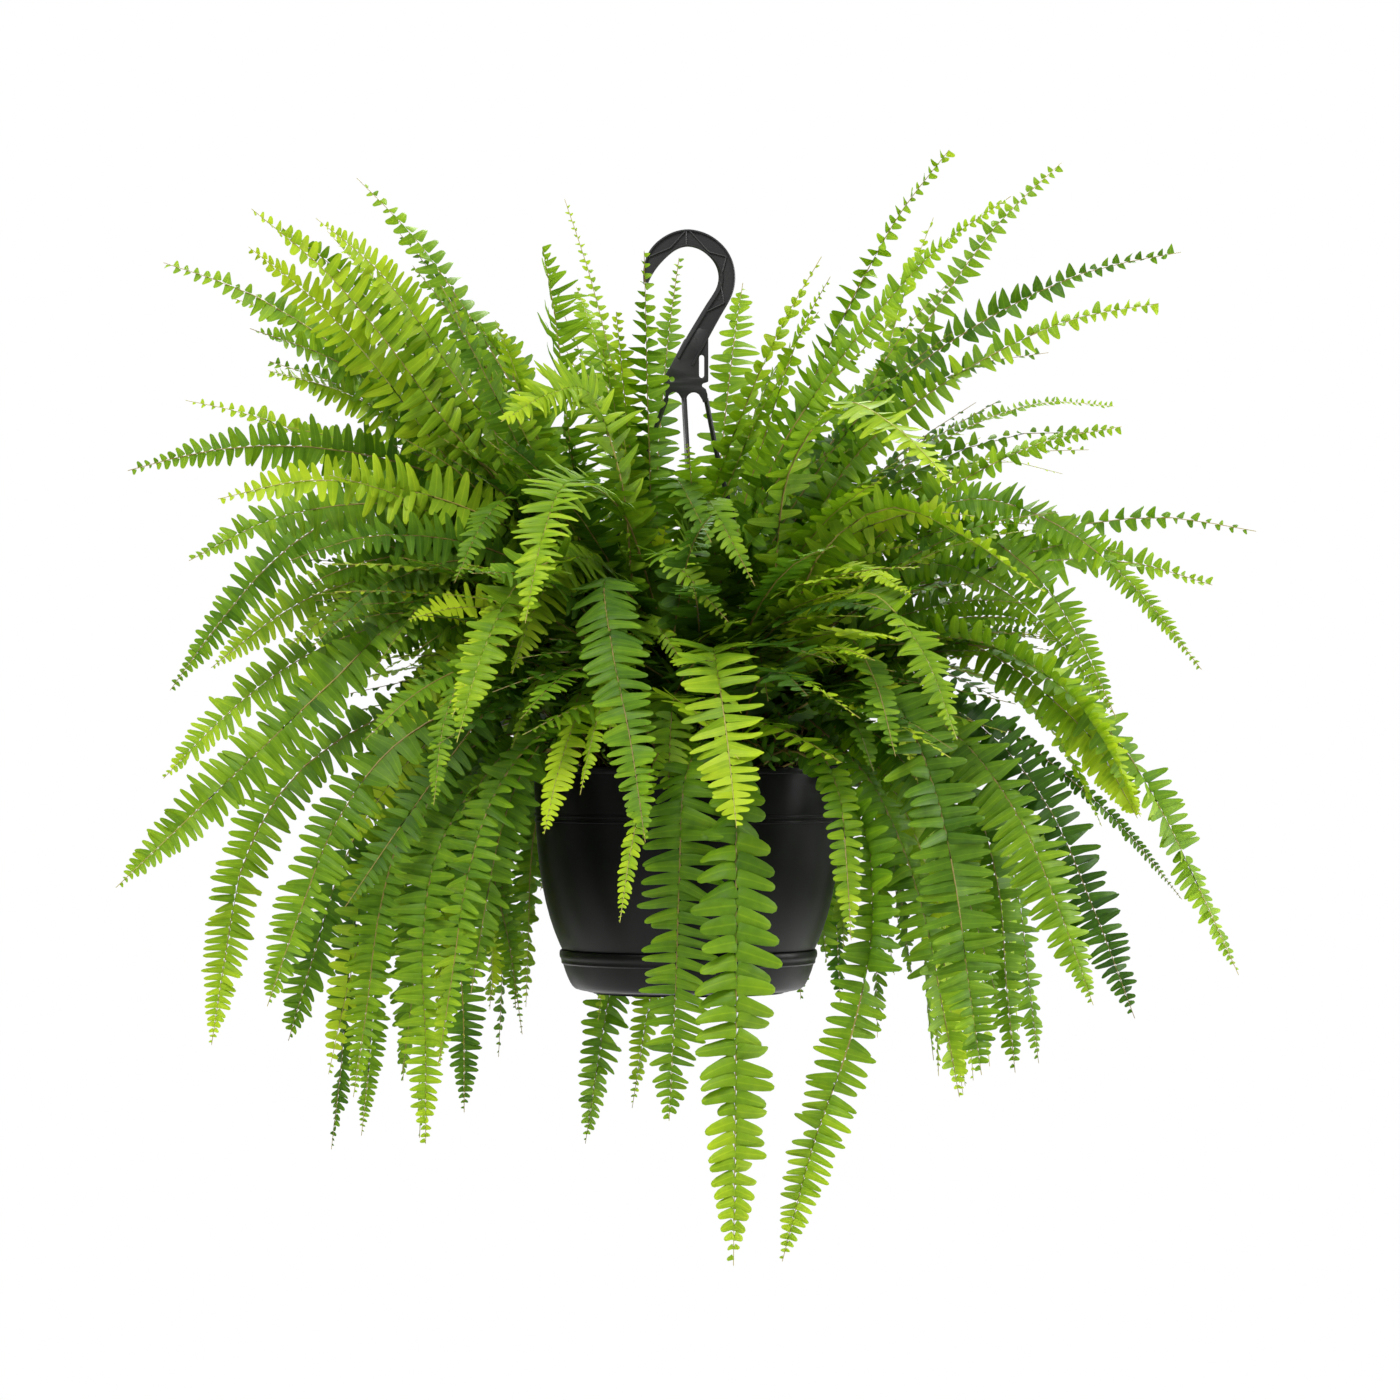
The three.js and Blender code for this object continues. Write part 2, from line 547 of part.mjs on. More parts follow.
const plant = new THREE.Group();
const blackPlastic = 0x17181a;

function place(name, solid, look) {
  const mesh = new THREE.Mesh(toGeometry(solid), look);
  mesh.name = name;
  plant.add(mesh);
}

const crowns = crownPlans();
const hanger = hangerSolid();
const pot = potSolid();
place('hanger', hanger, material(blackPlastic, 0.42));
place('pot', pot, material(blackPlastic, 0.5));
place('drip_tray', traySolid(), material(blackPlastic, 0.5));
place('soil', soilSolid(crowns.map((crown) => crown.root)), material(0x3a2a1d, 0.95));

const shades = { young: 0x8fae3c, grown: 0x55802f, old: 0x3a5f2b };
const random = randomSource(7);
const standing = [hanger, pot];
const placed = crowns.map(() => []);
// Fronds nearest the viewer go first, and those behind bend round them
const waiting = crowns.flatMap(({ root, pair }, crown) => (
  pair.map((plan, second) => ({ root, plan, crown, second }))
));
waiting.sort((a, b) => a.plan.tip.y - b.plan.tip.y);
for (const { root, plan, crown, second } of waiting) {
  const span = plan.middle.distanceTo(root) + plan.middle.distanceTo(plan.tip);
  plan.pairs = clamp(Math.round(span / LEAFLET_PITCH), 4, 7);
  const outwards = root.clone().setZ(0).normalize();
  const aside = new THREE.Vector3(-outwards.y, outwards.x, 0).multiplyScalar(PARTNER_OFFSET * second);
  plan.neck = root.clone().add(aside).setZ(SOIL_Z + 2);
  plan.foot = root.clone().setZ(SOIL_Z - SOCKET_DEPTH + SEAT_GAP + 3 * second);
  liftOverRim(plan);
  const thickness = MIDRIB_BY_AGE[plan.age] + second * SECOND_FROND_EXTRA;
  const others = [...standing, ...placed.filter((_, k) => k !== crown).flat()];
  const solid = clearFrond(plan, thickness, others, placed[crown], random);
  if (solid) placed[crown].push(solid);
}
placed.forEach((fronds, i) => {
  const crown = fronds.slice(1).reduce((whole, frond) => whole.add(frond), fronds[0]);
  place(`fronds_${String(i + 1).padStart(2, '0')}`, crown, material(shades[crowns[i].pair[0].age], 0.55));
});
export default plant;
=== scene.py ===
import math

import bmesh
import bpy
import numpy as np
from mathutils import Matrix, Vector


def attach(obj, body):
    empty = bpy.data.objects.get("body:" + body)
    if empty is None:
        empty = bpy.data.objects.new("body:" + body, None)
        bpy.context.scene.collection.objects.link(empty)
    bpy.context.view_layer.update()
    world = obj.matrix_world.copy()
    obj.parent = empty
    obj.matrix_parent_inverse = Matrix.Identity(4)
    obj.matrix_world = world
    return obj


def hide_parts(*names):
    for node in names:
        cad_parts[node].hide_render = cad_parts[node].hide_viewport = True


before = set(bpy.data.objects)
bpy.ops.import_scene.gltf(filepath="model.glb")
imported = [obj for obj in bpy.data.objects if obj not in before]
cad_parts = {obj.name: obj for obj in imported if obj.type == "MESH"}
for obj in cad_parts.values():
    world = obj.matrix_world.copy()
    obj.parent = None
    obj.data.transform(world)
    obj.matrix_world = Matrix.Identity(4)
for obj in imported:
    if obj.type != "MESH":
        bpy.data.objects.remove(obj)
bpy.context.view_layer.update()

# %% [markdown]
# # A sword fern in a hanging pot
# The imported model is the frame of this lesson: a hook with three arms, a pot with its drip tray, the soil,
# and fifty crowns of fronds. Every piece below is dressed round one of those solids, in metres, with +Z up
# and the hook's bearing point at the origin.


def nothing_selected():
    if bpy.context.object and bpy.context.object.mode != "OBJECT":
        bpy.ops.object.mode_set(mode="OBJECT")
    bpy.ops.object.select_all(action="DESELECT")


# %% [markdown]
# ## Camera, light and floor
# The plant was photographed level, from far away with a long lens, so its shapes hardly taper. The camera
# stands 4.9 m off and looks straight along +Y. A white surround and three wide, soft lamps give the even
# light of a studio, and the pale floor lies well below the lowest frond. The surround and every finish are
# made of nodes, so a small helper that adds and links them comes first.

# %% Camera
CAMERA_DISTANCE = 4.9
FIELD_WIDTH = 1.204
SENSOR_WIDTH = 36

nothing_selected()
bpy.ops.object.camera_add(location=(0.010, -CAMERA_DISTANCE, -0.390), rotation=(math.pi / 2, 0, 0))
camera = bpy.context.object
camera.name = "studio_camera"
camera.data.sensor_width = SENSOR_WIDTH
camera.data.lens = SENSOR_WIDTH * CAMERA_DISTANCE / FIELD_WIDTH
camera.data.clip_end = 50
bpy.context.scene.camera = camera
print("lens", round(camera.data.lens, 1), "mm")

# %% Wiring of nodes
class Wiring:
    """Short ways to add nodes to a material or a world, and to link them."""

    def __init__(self, owner):
        owner.use_nodes = True
        self.owner, self.nodes, self.links = owner, owner.node_tree.nodes, owner.node_tree.links
        self.skin = self.nodes.get("Principled BSDF")

    def fill(self, node, values):
        """Sets or links inputs, by name or number. A value is a number, a colour or a node's output."""
        for name, value in values.items():
            if isinstance(value, bpy.types.NodeSocket):
                self.links.new(value, node.inputs[name])
            else:
                node.inputs[name].default_value = value
        return node

    def add(self, kind, values=None):
        return self.fill(self.nodes.new("ShaderNode" + kind), values or {})

    def maths(self, kind, *values):
        node = self.nodes.new("ShaderNodeMath")
        node.operation = kind
        return self.fill(node, dict(enumerate(values))).outputs[0]

    def tone(self):
        """The tone of a leaf or rib, from the mesh."""
        node = self.add("Attribute")
        node.attribute_name = "tone"
        return node.outputs["Fac"]

    def ramp(self, share, stops):
        node = self.add("ValToRGB", {"Fac": share})
        while len(node.color_ramp.elements) < len(stops):
            node.color_ramp.elements.new(0.5)
        for element, (place, colour) in zip(node.color_ramp.elements, stops):
            element.position = place
            element.color = (*colour, 1)
        return node.outputs["Color"]

    def noise(self, scale, detail=2):
        place = self.add("TexCoord").outputs["Object"]
        return self.add("TexNoise", {"Vector": place, "Scale": scale, "Detail": detail}).outputs["Fac"]

    def raised(self, height, strength, distance):
        """The normal of a surface that the height pattern raises."""
        values = {"Height": height, "Strength": strength, "Distance": distance}
        return self.add("Bump", values).outputs["Normal"]

    def blend(self, share, first, second):
        return self.add("MixShader", {"Fac": share, 1: first, 2: second}).outputs["Shader"]


# %% Light
SURROUND = [(0.0, 0.16), (0.5, 0.32), (1.0, 1.15 / 1.2)]
SURROUND_STRENGTH = 1.2
# name, place, target, size in metres, power in watts
LAMPS = [
    ("key_lamp", (-1.2, -2.6, 2.4), (0, 0, -0.35), 1.4, 150),
    ("side_lamp", (2.8, 0.1, 0.2), (0, 0, -0.45), 1.5, 90),
    ("back_lamp", (0.3, 2.4, 2.0), (0, 0, -0.3), 1.8, 110),
]


def soft_lamp(name, place, target, size, power):
    nothing_selected()
    bpy.ops.object.light_add(type="AREA", location=place)
    lamp = bpy.context.object
    lamp.name = name
    lamp.data.size = size
    lamp.data.energy = power
    away = lamp.location - Vector(target)
    lamp.rotation_euler = away.to_track_quat("Z", "Y").to_euler()


sky = Wiring(bpy.data.worlds.new("studio_surround"))
bpy.context.scene.world = sky.owner
way = sky.add("SeparateXYZ", {0: sky.add("TexCoord").outputs["Generated"]})
height = sky.maths("MULTIPLY_ADD", way.outputs["Z"], 0.5, 0.5)
brightness = sky.ramp(height, [(place, (value, value, value)) for place, value in SURROUND])
lighting = sky.fill(sky.nodes["Background"], {"Color": brightness, "Strength": SURROUND_STRENGTH})
seen = sky.add("Background", {"Color": (1, 1, 1, 1), "Strength": 1.0})
is_seen = sky.add("LightPath").outputs["Is Camera Ray"]
surround = sky.blend(is_seen, lighting.outputs["Background"], seen.outputs["Background"])
sky.fill(sky.nodes["World Output"], {"Surface": surround})
bpy.context.scene.view_settings.view_transform = "Standard"
for lamp in LAMPS:
    soft_lamp(*lamp)
print(len(LAMPS), "soft lamps")

# %% Floor
FLOOR_Z = -1.55

nothing_selected()
bpy.ops.mesh.primitive_plane_add(size=6, location=(0, 0, FLOOR_Z))
floor = bpy.context.object
floor.name = "pale_floor"
pale = Wiring(bpy.data.materials.new("pale_floor_paint"))
pale.fill(pale.skin, {"Base Color": (0.86, 0.86, 0.85, 1), "Roughness": 0.8})
floor.data.materials.append(pale.owner)
print("floor", -FLOOR_Z, "m below the hook")

# %% [markdown]
# ## Reading where each frond runs
# In the solids a frond is a flat midrib with saw-tooth blades. Each station of the midrib has two upright
# edges side by side, 3.2 mm apart, and their height says how old the frond is: 1.8 mm for young, 2.1 mm for
# grown and 2.4 mm for old, with 0.1 mm more for the second frond of a crown. The tips of the blades are
# 0.6 mm thick. Those edges are found here in a merged copy of each solid, and chained from the neck to the
# tip.

# %% Taking and editing pieces
def take(*pieces):
    """Selects these pieces alone, the last one active."""
    nothing_selected()
    for piece in pieces:
        piece.select_set(True)
    bpy.context.view_layer.objects.active = pieces[-1]


def put_in_scene(name, data):
    piece = bpy.data.objects.new(name, data)
    bpy.context.collection.objects.link(piece)
    return piece


def edit_all():
    """Goes into edit mode with everything selected."""
    bpy.ops.object.mode_set(mode="EDIT")
    bpy.ops.mesh.select_all(action="SELECT")


def edit_done():
    """Turns the faces outwards and leaves edit mode."""
    bpy.ops.mesh.select_all(action="SELECT")
    bpy.ops.mesh.normals_make_consistent(inside=False)
    bpy.ops.object.mode_set(mode="OBJECT")


# %% Merged copy of a solid
MIDRIB_WIDTH = 0.0032
BLADE_EDGE = 0.0006
AGES = {0.0018: "young", 0.0021: "grown", 0.0024: "old"}
SECOND_EXTRA = 0.0001
STALK_SHARE = 0.13
SOIL_Z = -0.462


def upright_edges(node):
    """Ends of every edge in a merged copy of the node's mesh."""
    copy = put_in_scene("reading_copy", node.data.copy())
    take(copy)
    edit_all()
    bpy.ops.mesh.remove_doubles(threshold=1e-5)
    bpy.ops.object.mode_set(mode="OBJECT")
    places = np.array([v.co for v in copy.data.vertices])
    ends = np.array([e.vertices for e in copy.data.edges])
    bpy.data.objects.remove(copy)
    return places[ends[:, 0]], places[ends[:, 1]]


# %% Stations of a midrib
ROOT_REACH = 0.11
NEAR_SOIL = (-0.02, 0.0035)


def unit(v):
    return v / np.maximum(np.linalg.norm(v, axis=-1, keepdims=True), 1e-12)


def past_stalk(t):
    """Share of the blade's length, from a share of the frond's length."""
    return np.clip((t - STALK_SHARE) / (1 - STALK_SHARE), 0, 1)


def blade_share(t, taper=3):
    """Half-width of the blade at a share of the frond's length, of its greatest half-width."""
    u = past_stalk(t)
    return np.minimum(1, 0.42 + 1.7 * u) * (1 - u**taper)


def smooth_curve(t, places, slopes, new):
    """Places at new shares on a smooth curve through the places given at shares t."""
    i = np.clip(np.searchsorted(t, new, side="right") - 1, 0, len(t) - 2)
    step = (t[i + 1] - t[i])[:, None]
    u = (new[:, None] - t[i][:, None]) / step
    return (
        places[i] * (1 + 2 * u) * (1 - u) ** 2 + slopes[i] * step * u * (1 - u) ** 2
        + places[i + 1] * u**2 * (3 - 2 * u) + slopes[i + 1] * step * u**2 * (u - 1)
    )


def midrib_stations(a, b, thickness):
    """Centres and normals of the midrib's stations with that thickness."""
    long = np.abs(np.linalg.norm(a - b, axis=1) - thickness) < 2e-5
    middle, axis = (a[long] + b[long]) / 2, unit(a[long] - b[long])
    apart = np.linalg.norm(middle[:, None] - middle[None], axis=2)
    pairs = (np.abs(apart - MIDRIB_WIDTH) < 6e-5) & (np.abs(axis @ axis.T) > 0.999)
    i, j = np.nonzero(np.triu(pairs))
    return (middle[i] + middle[j]) / 2, axis[i]


def in_order(centres, normals):
    """The stations from the neck to the tip, without the foot in the soil."""
    reach, above_soil = np.hypot(centres[:, 0], centres[:, 1]), centres[:, 2] - SOIL_Z
    at_soil = (above_soil > NEAR_SOIL[0]) & (above_soil < NEAR_SOIL[1])
    rooted = np.nonzero((reach < ROOT_REACH) & at_soil)[0]
    if not len(rooted):
        return None
    chain = [rooted[np.argmin(centres[rooted, 2])]]
    left = set(range(len(centres))) - set(chain)
    while left:
        near = min(left, key=lambda k: np.linalg.norm(centres[k] - centres[chain[-1]]))
        chain.append(near)
        left.remove(near)
    if centres[chain[0], 2] < SOIL_Z:
        chain = chain[1:]
    return centres[chain], normals[chain]


# %% Fronds of a crown
BLADE_SLANT = 0.16
TIP_REACH = 0.05
TIP_SLACK = 0.004
LEAST_DROOP = 0.0003


def read_fronds(name):
    """The two fronds of a crown: their stations, normals, ages and greatest half-widths."""
    a, b = upright_edges(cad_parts[name])
    fine = np.abs(np.linalg.norm(a - b, axis=1) - BLADE_EDGE) < 1.5e-5
    tips = (a[fine] + b[fine]) / 2
    fronds = []
    for second in (0, 1):
        for base, age in AGES.items():
            found = in_order(*midrib_stations(a, b, base + second * SECOND_EXTRA))
            if found is None or len(found[0]) < 4:
                continue
            centres, normals = found
            pairs = len(centres) - 2
            shares = np.array([0] + [STALK_SHARE + (1 - STALK_SHARE) * i / pairs for i in range(pairs + 1)])
            halves, lean = [], []
            for i in range(1, len(centres) - 1):
                foot = centres[i] * 0.15 + centres[i + 1] * 0.85
                ahead = unit(centres[i + 1] - centres[i])
                reach = tips - foot
                mine = (np.abs(reach @ ahead) < TIP_SLACK) & (np.linalg.norm(reach, axis=1) < TIP_REACH)
                middle = shares[i] * 0.45 + shares[i + 1] * 0.55
                for r in reach[mine]:
                    lean.append((i, r @ normals[i]))
                    halves.append(np.linalg.norm(r) / math.hypot(1, BLADE_SLANT) / blade_share(middle))
            for i, drop in lean:
                if drop > LEAST_DROOP:
                    normals[i] = -normals[i]
                    lean = [(k, -d) if k == i else (k, d) for k, d in lean]
            for i in (0, len(centres) - 1):
                near = 1 if i == 0 else len(centres) - 2
                if normals[i] @ normals[near] < 0:
                    normals[i] = -normals[i]
            fronds.append({
                "crown": name, "second": second, "age": age, "points": centres, "normals": normals,
                "shares": shares, "half": float(np.median(halves)) if halves else 0.02,
            })
    return fronds


crowns = sorted(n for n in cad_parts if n.startswith("fronds_"))
fronds = [frond for name in crowns for frond in read_fronds(name)]
print(len(crowns), "crowns hold", len(fronds), "fronds")

# %% Fronds that gave way
# The solids may not touch, so some fronds stand a little beside the place where the photograph shows them.
# Here they go back, by number of their crown and place in it. Middle and tip are shifts to the right and up
# in millimetres, forward is one towards the camera, and half and pitch are the leaflets' length and distance.
# Fold is how far the two rows turn out of the blade, each at foot and tip, in radians. The other words take
# the place of what the frond's character gives it further down.
SEEN_SO = {
    (1, 0): dict(middle=(0, -34), tip=(0, 0), half=32, taper=7),
    (1, 1): dict(middle=(-34, 0), tip=(-10, 8), half=42, pitch=10, taper=8, broad=0.8),
    (2, 1): dict(middle=(-12, 0), tip=(-4, 14)),
    (3, 0): dict(age="grown"),
    (6, 1): dict(middle=(2, 0), tip=(6, -6), half=25, pitch=12.5, taper=9, broad=0.95),
    (7, 1): dict(half=10, pitch=12, spread=1.0, age="grown"),
    (8, 0): dict(half=33, pitch=16, broad=0.85),
    (9, 1): dict(middle=(0, 14), tip=(0, 17)),
    (10, 1): dict(half=31, pitch=10.5, taper=7),
    (12, 0): dict(middle=(-42, 84), half=34, pitch=9.5, taper=7, tone=0.57, fresh=0.36, forward=100),
    (13, 1): dict(middle=(-39, 26), tip=(-15, 10), half=36, pitch=9.5, fresh=0.45, forward=60),
    (15, 1): dict(middle=(30, 72), half=34, pitch=10.5, taper=7, tone=0.55, fresh=0.4, forward=100),
    (16, 0): dict(tone=0.46, fresh=0.3),
    (16, 1): dict(tone=0.5, fresh=0.34),
    (17, 0): dict(middle=(8, 31), tip=(4, 0), half=21, pitch=9.5),
    (17, 1): dict(middle=(0, 3), half=18, pitch=18, spread=1.0),
    (18, 1): dict(middle=(0, 17), tip=(-10, -4), half=17, pitch=10, tone=0.46, fresh=0.3),
    (23, 1): dict(tip=(14, -18), half=22, pitch=14, age="grown"),
    (25, 1): dict(half=28),
    (26, 0): dict(half=30, tone=0.43, fresh=0.3),
    (28, 1): dict(half=9, pitch=10),
    (31, 0): dict(half=11, pitch=10),
    (31, 1): dict(half=30, fresh=0.34, age="old"),
    (32, 0): dict(middle=(28, 0), tip=(22, -20), half=40, pitch=11, taper=6.5, tone=0.42, fresh=0.2),
    (32, 1): dict(half=37, pitch=11.5, age="young"),
    (33, 0): dict(tip=(-3, 0), half=38, pitch=17, taper=5.5, fresh=0.46),
    (33, 1): dict(middle=(21, 0), tip=(-2, -6), half=30, pitch=12.5, fold=((0.5, 0.1), (1.4, 0.1))),
    (37, 0): dict(tone=0.42, fresh=0.3),
    (37, 1): dict(middle=(40, -50), tip=(-11, -52), half=29, pitch=11),
    (38, 1): dict(middle=(9, 12), half=31, pitch=12, fold=((1.25, 0.9), (0.0, 0.0))),
    (39, 0): dict(middle=(-10, -22), half=9, pitch=8.5),
    (41, 0): dict(tip=(10, 50)),
    (41, 1): dict(middle=(60, 10), tip=(75, 90), half=26),
    (46, 0): dict(middle=(24, 0), tip=(12, 0), age="grown"),
}
# neighbours that the solids leave out: crown, place, shift of middle and tip, half, pitch, taper and age,
# where "dark" is no age but painted shade
BESIDE = [
    (1, 0, (10, 34), (52, -6), 25, 11, 6, "young"),
    (1, 0, (4, 16), (24, -14), 28, 11.5, 6, "grown"),
    (8, 0, (-8, -26), (34, -44), 24, 12, None, "grown"),
    (8, 1, (16, 16), (30, -30), 30, 11, 7, "grown"),
    (1, 1, (-18, -22), (-40, -60), 30, 10, 6, "young"),
    (1, 1, (-50, -30), (-76, -40), 28, 11, 6, "grown"),
    (1, 0, (-8, -20), (-4, -30), 31, 10.5, 7, "young"),
    (10, 1, (0, -14), (14, -34), 31, 10, 7, "grown"),
    (5, 1, (-24, 16), (-64, 10), 24, 11, None, "young"),
    (6, 0, (30, 20), (40, 4), 24, 11, None, "old"),
    (7, 1, (-6, -16), (10, -76), 24, 10.5, 6, "young"),
    (2, 0, (-14, -18), (-24, -50), 24, 12, None, "grown"),
    (24, 1, (10, -10), (60, -30), 28, 11, 6, "grown"),
    (14, 0, (28, 62), (-14, 66), 25, 10.5, None, "old"),
    (14, 0, (50, 52), (22, 30), 24, 10.5, None, "grown"),
    (17, 0, (-16, -26), (-70, -40), 26, 11, None, "old"),
    (17, 1, (-10, -24), (-110, -20), 26, 12, None, "grown"),
    (38, 1, (-40, 16), (-84, 132), 26, 11, None, "grown"),
    # this neighbour gets the "dark" tone, painted shade behind the others
    (37, 0, (24, 12), (36, -12), 30, 11.5, 8, "dark"),
    (28, 1, (4, 6), (-6, 20), 18, 10.5, 7, "old"),
]
TRAITS = ("taper", "broad", "spread", "fold", "fresh", "tone", "pitch")
BEHIND = 0.02


def put_back(frond, seen):
    """Moves a frond to where it is seen."""
    (mx, mz), (tx, tz) = seen.get("middle", (0, 0)), seen.get("tip", (0, 0))
    t = frond["shares"]
    frond["points"][:, 0] += np.interp(t, (0, 0.25, 0.6, 1), (0, 0.5 * mx, mx, tx)) / 1000
    frond["points"][:, 2] += np.interp(t, (0, 0.25, 0.6, 1), (0, 0.3 * mz, mz, tz)) / 1000
    frond["points"][:, 1] -= np.interp(t, (0, 0.4, 1), (0, 1, 1)) * seen.get("forward", 0) / 1000
    frond["half"] = seen.get("half", frond["half"] * 1000) / 1000
    frond["age"] = seen.get("age", frond["age"])
    frond["seen"] = {key: seen[key] for key in TRAITS if seen.get(key) is not None}
    if "pitch" in seen:
        frond["seen"]["pitch"] = seen["pitch"] / 1000


beside, shown = [], []
for frond in fronds:
    seen = SEEN_SO.get((int(frond["crown"][-2:]), frond["second"]), {})
    put_back(frond, seen)
    if "forward" in seen:
        shown.append(frond)
for crown, second, middle, tip, half, pitch, taper, age in BESIDE:
    model = next(f for f in fronds if int(f["crown"][-2:]) == crown and f["second"] == second)
    beside.append({**model, "points": model["points"] + [0, BEHIND, 0]})
    put_back(beside[-1], dict(middle=middle, tip=tip, half=half, pitch=pitch, taper=taper, age=age))
print(len(SEEN_SO), "fronds put back and", len(beside), "neighbours added")

# %% [markdown]
# ## One leaflet
# A leaflet is a narrow tongue. It is widest where it sits on the rib, with a small ear on the side of the
# frond's tip, and its neighbours touch it there. Leaflets in the open air are shorter and more pointed. A
# fern of this size carries thousands of them, so one is shaped from a flat grid and copied: a fine
# one for the fronds in front and plainer ones behind. Both halves bulge up beside a sunken midvein, and one
# strip from margin to margin closes the underside, so that the finished meshes are solid.

# %% Choosing vertices in edit mode
def choose(mesh, test):
    """Selects the vertices of the mesh being edited whose place passes the test."""
    shape = bmesh.from_edit_mesh(mesh)
    for edge in shape.edges:
        edge.select = False
    for face in shape.faces:
        face.select = False
    for v in shape.verts:
        v.select = bool(test(v.co))
    shape.select_flush(True)
    bmesh.update_edit_mesh(mesh)


# %% Outlines of the leaflet
# place from rib to tip, margin towards the frond's tip, margin towards its foot
TONGUE = [
    (0.00, 0.36, -0.40), (0.05, 0.57, -0.50), (0.16, 0.50, -0.50), (0.40, 0.42, -0.43),
    (0.62, 0.38, -0.38), (0.80, 0.35, -0.33), (0.92, 0.27, -0.23), (1.00, 0.11, -0.09),
]
SICKLE = [
    (0.00, 0.28, -0.34), (0.05, 0.54, -0.46), (0.16, 0.52, -0.49), (0.40, 0.45, -0.42),
    (0.62, 0.36, -0.30), (0.80, 0.25, -0.15), (0.92, 0.16, -0.03), (1.00, 0.07, 0.03),
]
# steps from rib to tip and columns from margin to margin, for each degree of detail
DETAIL = {
    "fine": ([0.00, 0.06, 0.34, 0.72, 0.92, 1.00], 4),
    "plain": ([0.00, 0.08, 0.45, 0.88, 1.00], 2),
    "small": ([0.00, 0.12, 0.82, 1.00], 2),
}
BULGE = 0.13
MIDVEIN_HEIGHT = 0.5

# %% Shaping a leaflet
def leaflet(name, outline, steps, columns):
    """A leaflet one long and one wide, lying along +X with its upper skin towards +Z."""
    nothing_selected()
    bpy.ops.mesh.primitive_grid_add(x_subdivisions=len(steps) - 1, y_subdivisions=columns, size=1)
    piece = bpy.context.object
    piece.name = name
    mesh = piece.data
    along = sorted({round(v.co.x, 4) for v in mesh.vertices})
    across = sorted({round(v.co.y, 4) for v in mesh.vertices})
    x, upper, lower = np.array(outline).T
    bpy.ops.object.mode_set(mode="EDIT")
    bpy.ops.mesh.select_mode(type="VERT")
    for place in across[1:-1]:
        height = BULGE * (MIDVEIN_HEIGHT if abs(place) < 1e-3 else 1)
        choose(mesh, lambda co: abs(co.y - place) < 1e-3)
        bpy.ops.transform.translate(value=(0, 0, height))
    for start, step in zip(along, steps):
        top, bottom = np.interp(step, x, upper), np.interp(step, x, lower)
        choose(mesh, lambda co: abs(co.x - start) < 1e-3)
        bpy.ops.transform.resize(value=(1, top - bottom, top - bottom), center_override=(start, 0, 0))
        bpy.ops.transform.translate(value=(10 + step - start, (top + bottom) / 2, 0))
    bpy.ops.mesh.select_all(action="SELECT")
    bpy.ops.transform.translate(value=(-10, 0, 0))
    choose(mesh, lambda co: co.z < 1e-5)
    bpy.ops.mesh.select_mode(type="EDGE")
    shape = bmesh.from_edit_mesh(mesh)
    for edge in shape.edges:
        edge.select = edge.is_boundary and abs(edge.verts[0].co.x - edge.verts[1].co.x) > 1e-4
    bmesh.update_edit_mesh(mesh)
    bpy.ops.mesh.bridge_edge_loops()
    bpy.ops.mesh.select_all(action="SELECT")
    bpy.ops.mesh.fill_holes(sides=0)
    bpy.ops.mesh.select_mode(type="VERT")
    edit_done()
    places = np.array([v.co for v in mesh.vertices])
    quads = []
    for polygon in mesh.polygons:
        loop = list(polygon.vertices)
        quads.append(loop[:4] if len(loop) > 3 else loop + loop[-1:])
        if len(loop) == 5:
            quads.append([loop[0], loop[3], loop[4], loop[4]])
    print(name, "has", len(places), "corners and", len(mesh.polygons), "faces")
    bpy.data.objects.remove(piece)
    return places, np.array(quads)


SHAPES = {}
for kind, (steps, columns) in DETAIL.items():
    SHAPES[kind] = [
        leaflet(kind + "_tongue", TONGUE, steps, columns),
        leaflet(kind + "_sickle", SICKLE, steps, columns),
    ]


# %% [markdown]
# ## From midrib to frond
# A frond follows its solid's stations on one smooth curve. The rib is a tapering tube, and leaflets stand
# along it in two rows, the left row half a step behind the right. Their length follows the width of the
# solid's blade. Each leaflet gets its own small turn, droop and tone, because a frond with equal leaflets
# looks stamped. The tone is kept in an attribute: low is old and dark, high is young and yellow-green. The
# lowest tone, "dark", is painted shade for fronds deep in the plant.

# %% Curve of a frond
def along_curve(frond, shares):
    """Places at shares of the frond's length, on a smooth curve through its stations."""
    t, p = frond["shares"], frond["points"]
    slope = np.diff(p, axis=0) / np.diff(t)[:, None]
    tangent = np.vstack([slope[:1], (slope[1:] + slope[:-1]) / 2, slope[-1:]])
    tangent[0] = 1.5 * slope[0] - 0.5 * tangent[1]
    return smooth_curve(t, p, tangent, shares)


def frame_along(frond, shares):
    """Place, direction, sideways and upper direction at shares of the frond's length."""
    place = along_curve(frond, shares)
    beyond, before = np.minimum(shares + 0.01, 1.0), np.maximum(shares - 0.01, 0.0)
    ahead = unit(along_curve(frond, beyond) - along_curve(frond, before))
    upper = np.stack([np.interp(shares, frond["shares"], frond["normals"][:, k]) for k in range(3)], axis=1)
    upper = unit(upper - (upper * ahead).sum(1)[:, None] * ahead)
    return place, ahead, np.cross(ahead, upper), upper


# %% Rib
RIB_FOOT = 0.0014
RIB_TIP = 0.00035


